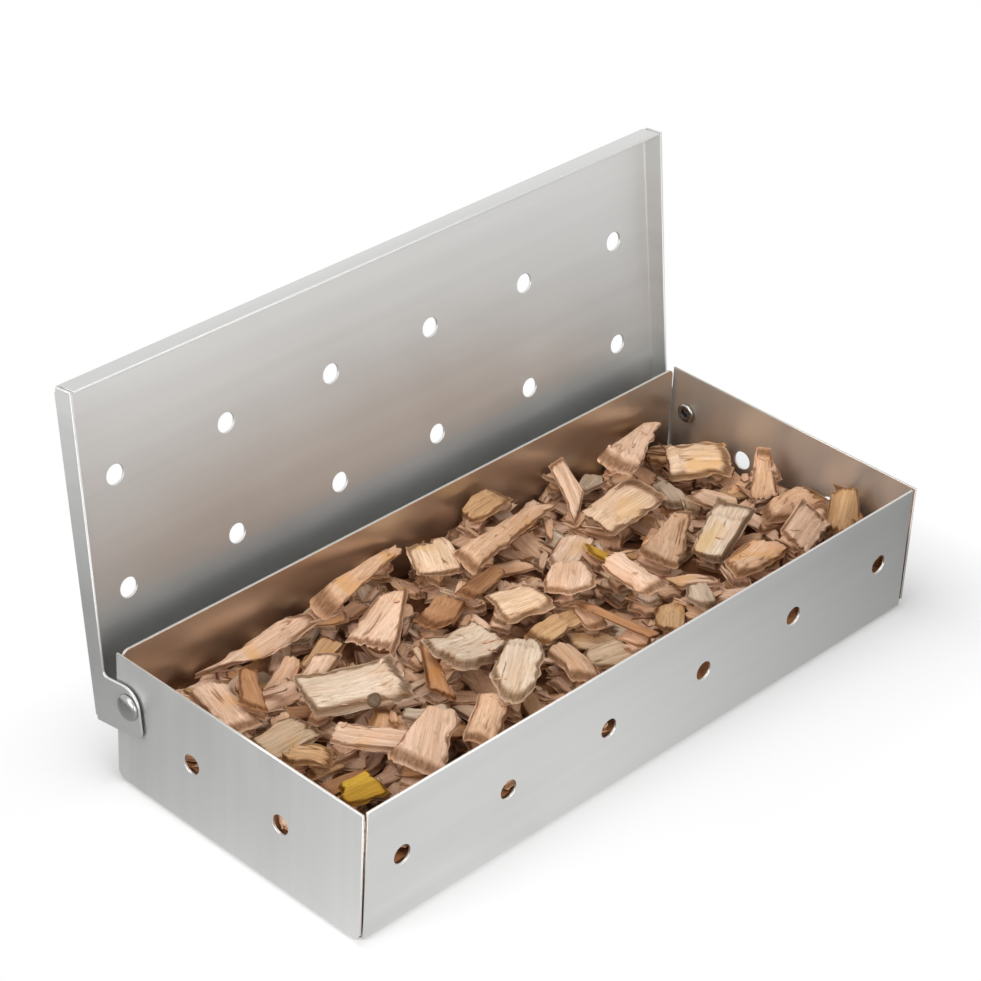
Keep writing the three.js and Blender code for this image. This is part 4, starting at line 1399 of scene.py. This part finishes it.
bpy.context.view_layer.update()
slab = bpy.data.objects["wood_chip_26_split"]
slab_points = [slab.matrix_world @ vertex.co for vertex in slab.data.vertices]
slab_tree = BVHTree.FromPolygons(slab_points, [face.vertices[:] for face in slab.data.polygons])
knot_middle = slab_tree.find_nearest(knot_aim)[0] + knot_way * knot_lift
to_knot = knot_way.to_track_quat("Z", "Y").to_matrix()
knot = new_pile()
for out in (ring / knot_rings for ring in range(knot_rings + 1)):
    for turn in (2 * math.pi * k / knot_sides for k in range(knot_sides)):
        radius = knot_radius * out * (1 + knot_wobble * wander(turn, 0, 5, 1.3, 1))
        groove = groove_depth * math.exp(-((out - groove_at) / groove_width) ** 2)
        rise = knot_rise * (1 - out ** 4) - groove - knot_foot * near(out, 0.9, 1)
        flat = (radius * math.cos(turn), radius * math.sin(turn))
        knot["points"].append(knot_middle + to_knot @ Vector((*flat, rise)))
        knot["grain"].append(Vector((rise, *flat)))
        knot["carved"].append((0.6 * near(out, 0.6, 0.8), 0.0, knot_tone))
knot_loops = [[ring * knot_sides + k for k in range(knot_sides)] for ring in range(knot_rings + 1)]
knot["faces"] = [flipped(face) for face in bands(knot_loops)] + [tuple(knot_loops[-1][::-1])]
make_wood_piece("slab_knot", knot, "wood_grey")
print("knot:", [round(c / mm, 1) for c in knot_middle])

# %% [markdown]
# Bark comes off a chip in one piece and curls as it dries. One such curl lies on the right, so it
# is carved like a thin chip whose sides bend down.

# %% Bark
bark_place = Vector((inner_half - 10 * mm, -inner_width_half + 17 * mm, 30 * mm))
bark_length, bark_width, bark_thickness = 17 * mm, 13 * mm, 1.3 * mm
bark_heading, bark_rise = math.radians(25), math.radians(-48)

low, high = small_outline(bark_length, bark_width)
bark = carve(low, high, bark_thickness, seed=77, strand=0.4 * mm, stride=0.9 * mm, curl=0.3)
turn = turned(("Z", bark_heading), ("Y", bark_rise))
lay(piles["wood_gold"], bark, Matrix.Translation(bark_place) @ turn)
print("bark:", len(bark[1]), "faces")

# %% [markdown]
# A chip that shows lies on others. Under each one, coarser chips are stacked downwards until they
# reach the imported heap, so that no chip hangs in the air where one looks in under its edge. They
# are hardly seen, so their strands are wide and few.

# %% Chips packed under the ones that show
under_chance = random.Random(23)
under_step = 2.3 * mm
least_gap = 1.4 * mm
under_spots = (-0.28, 0.28)
under_tilt = 0.25
under_thickness = 2.2 * mm

packed_under = 0
for place, low, high, thickness in lies.values():
    reach_u = extent(u for u, v in low)
    for share in under_spots:
        spot = place @ Vector((share * reach_u, 0, -thickness / 2))
        ground = top_at(bed_rays, spot.x, spot.y, sheet)
        while spot.z - ground > least_gap:
            spot.z -= under_step
            length, width = under_chance.uniform(9, 13) * mm, under_chance.uniform(6, 8) * mm
            under_low, under_high = small_outline(length, width)
            seed = under_chance.randrange(seed_range)
            chip = carve(under_low, under_high, under_thickness, seed, strand=1.1 * mm, stride=2.4 * mm)
            turn = turned(
                ("Z", under_chance.uniform(0, math.pi)),
                ("X", under_chance.uniform(-under_tilt, under_tilt)),
            )
            lay(piles[any_tone(under_chance)], chip, Matrix.Translation(spot) @ turn)
            packed_under += 1
print("chips packed under the shown ones:", packed_under)

# %% [markdown]
# Splinters fall into the gaps between chips, and crumbs stay on top. A place is in a gap when a
# falling ray goes deeper there than round about. Everything made so far is in one tree for those
# rays, because a splinter comes to lie on whatever is there.

# %% Slivers and crumbs in the gaps
sliver_count, crumb_count = 190, 50
most_attempts = 4000
gap_depth = 0.8 * mm
edge_room = 4 * mm
rivet_clear = 9 * mm
gap_reach = 5 * mm
crumb_chance = 0.2
crumb_lift = 0.15 * mm


def heap_tree():
    """Everything in the heap that has been made so far, as one tree for ray casts"""
    points, faces = [], []
    for obj in scene.objects:
        if obj.type == "MESH" and (obj.name.endswith("_split") or obj.name == "heap_core"):
            start = len(points)
            points += [obj.matrix_world @ v.co for v in obj.data.vertices]
            faces += [tuple(start + i for i in p.vertices) for p in obj.data.polygons]
    for pile in piles.values():
        start = len(points)
        points += pile["points"]
        faces += [tuple(start + i for i in face) for face in pile["faces"]]
    return BVHTree.FromPolygons(points, faces)


bpy.context.view_layer.update()
made = heap_tree()
rivet_ends = [Vector((side * inner_half, hinge.y)) for side in both_sides]
neighbours = ((gap_reach, 0), (-gap_reach, 0), (0, gap_reach), (0, -gap_reach))
slivers = crumbs = 0
for attempt in range(most_attempts):
    x = chance.uniform(-1, 1) * (inner_half - edge_room)
    y = chance.uniform(-1, 1) * (inner_width_half - edge_room)
    if min((Vector((x, y)) - end).length for end in rivet_ends) < rivet_clear:
        continue
    height = top_at(made, x, y, 0)
    around = [top_at(made, x + dx, y + dy, height) for dx, dy in neighbours]
    in_gap = height < sum(around) / len(around) - gap_depth
    tone = any_tone(chance)
    if in_gap and slivers < sliver_count:
        length, width = chance.uniform(6, 14) * mm, chance.uniform(1.6, 4) * mm
        z, thickness = height + chance.uniform(0.4, 1.2) * mm, chance.uniform(0.7, 1.4) * mm
        lay_small(x, y, z, length, width, thickness, tone, tilt=0.4, strand=0.6 * mm, stride=1.5 * mm)
        slivers += 1
    elif not in_gap and crumbs < crumb_count and chance.random() < crumb_chance:
        length, width = chance.uniform(1.2, 3.8) * mm, chance.uniform(0.5, 1.1) * mm
        z, thickness = height + crumb_lift, 0.5 * mm
        lay_small(x, y, z, length, width, thickness, tone, tilt=0.2, strand=0.3 * mm, stride=0.8 * mm)
        crumbs += 1
for tone, pile in piles.items():
    make_wood_piece("heap_" + tone.removeprefix("wood_"), pile, tone)
print("slivers:", slivers, "crumbs:", crumbs, "in", len(piles), "tones")

# %% [markdown]
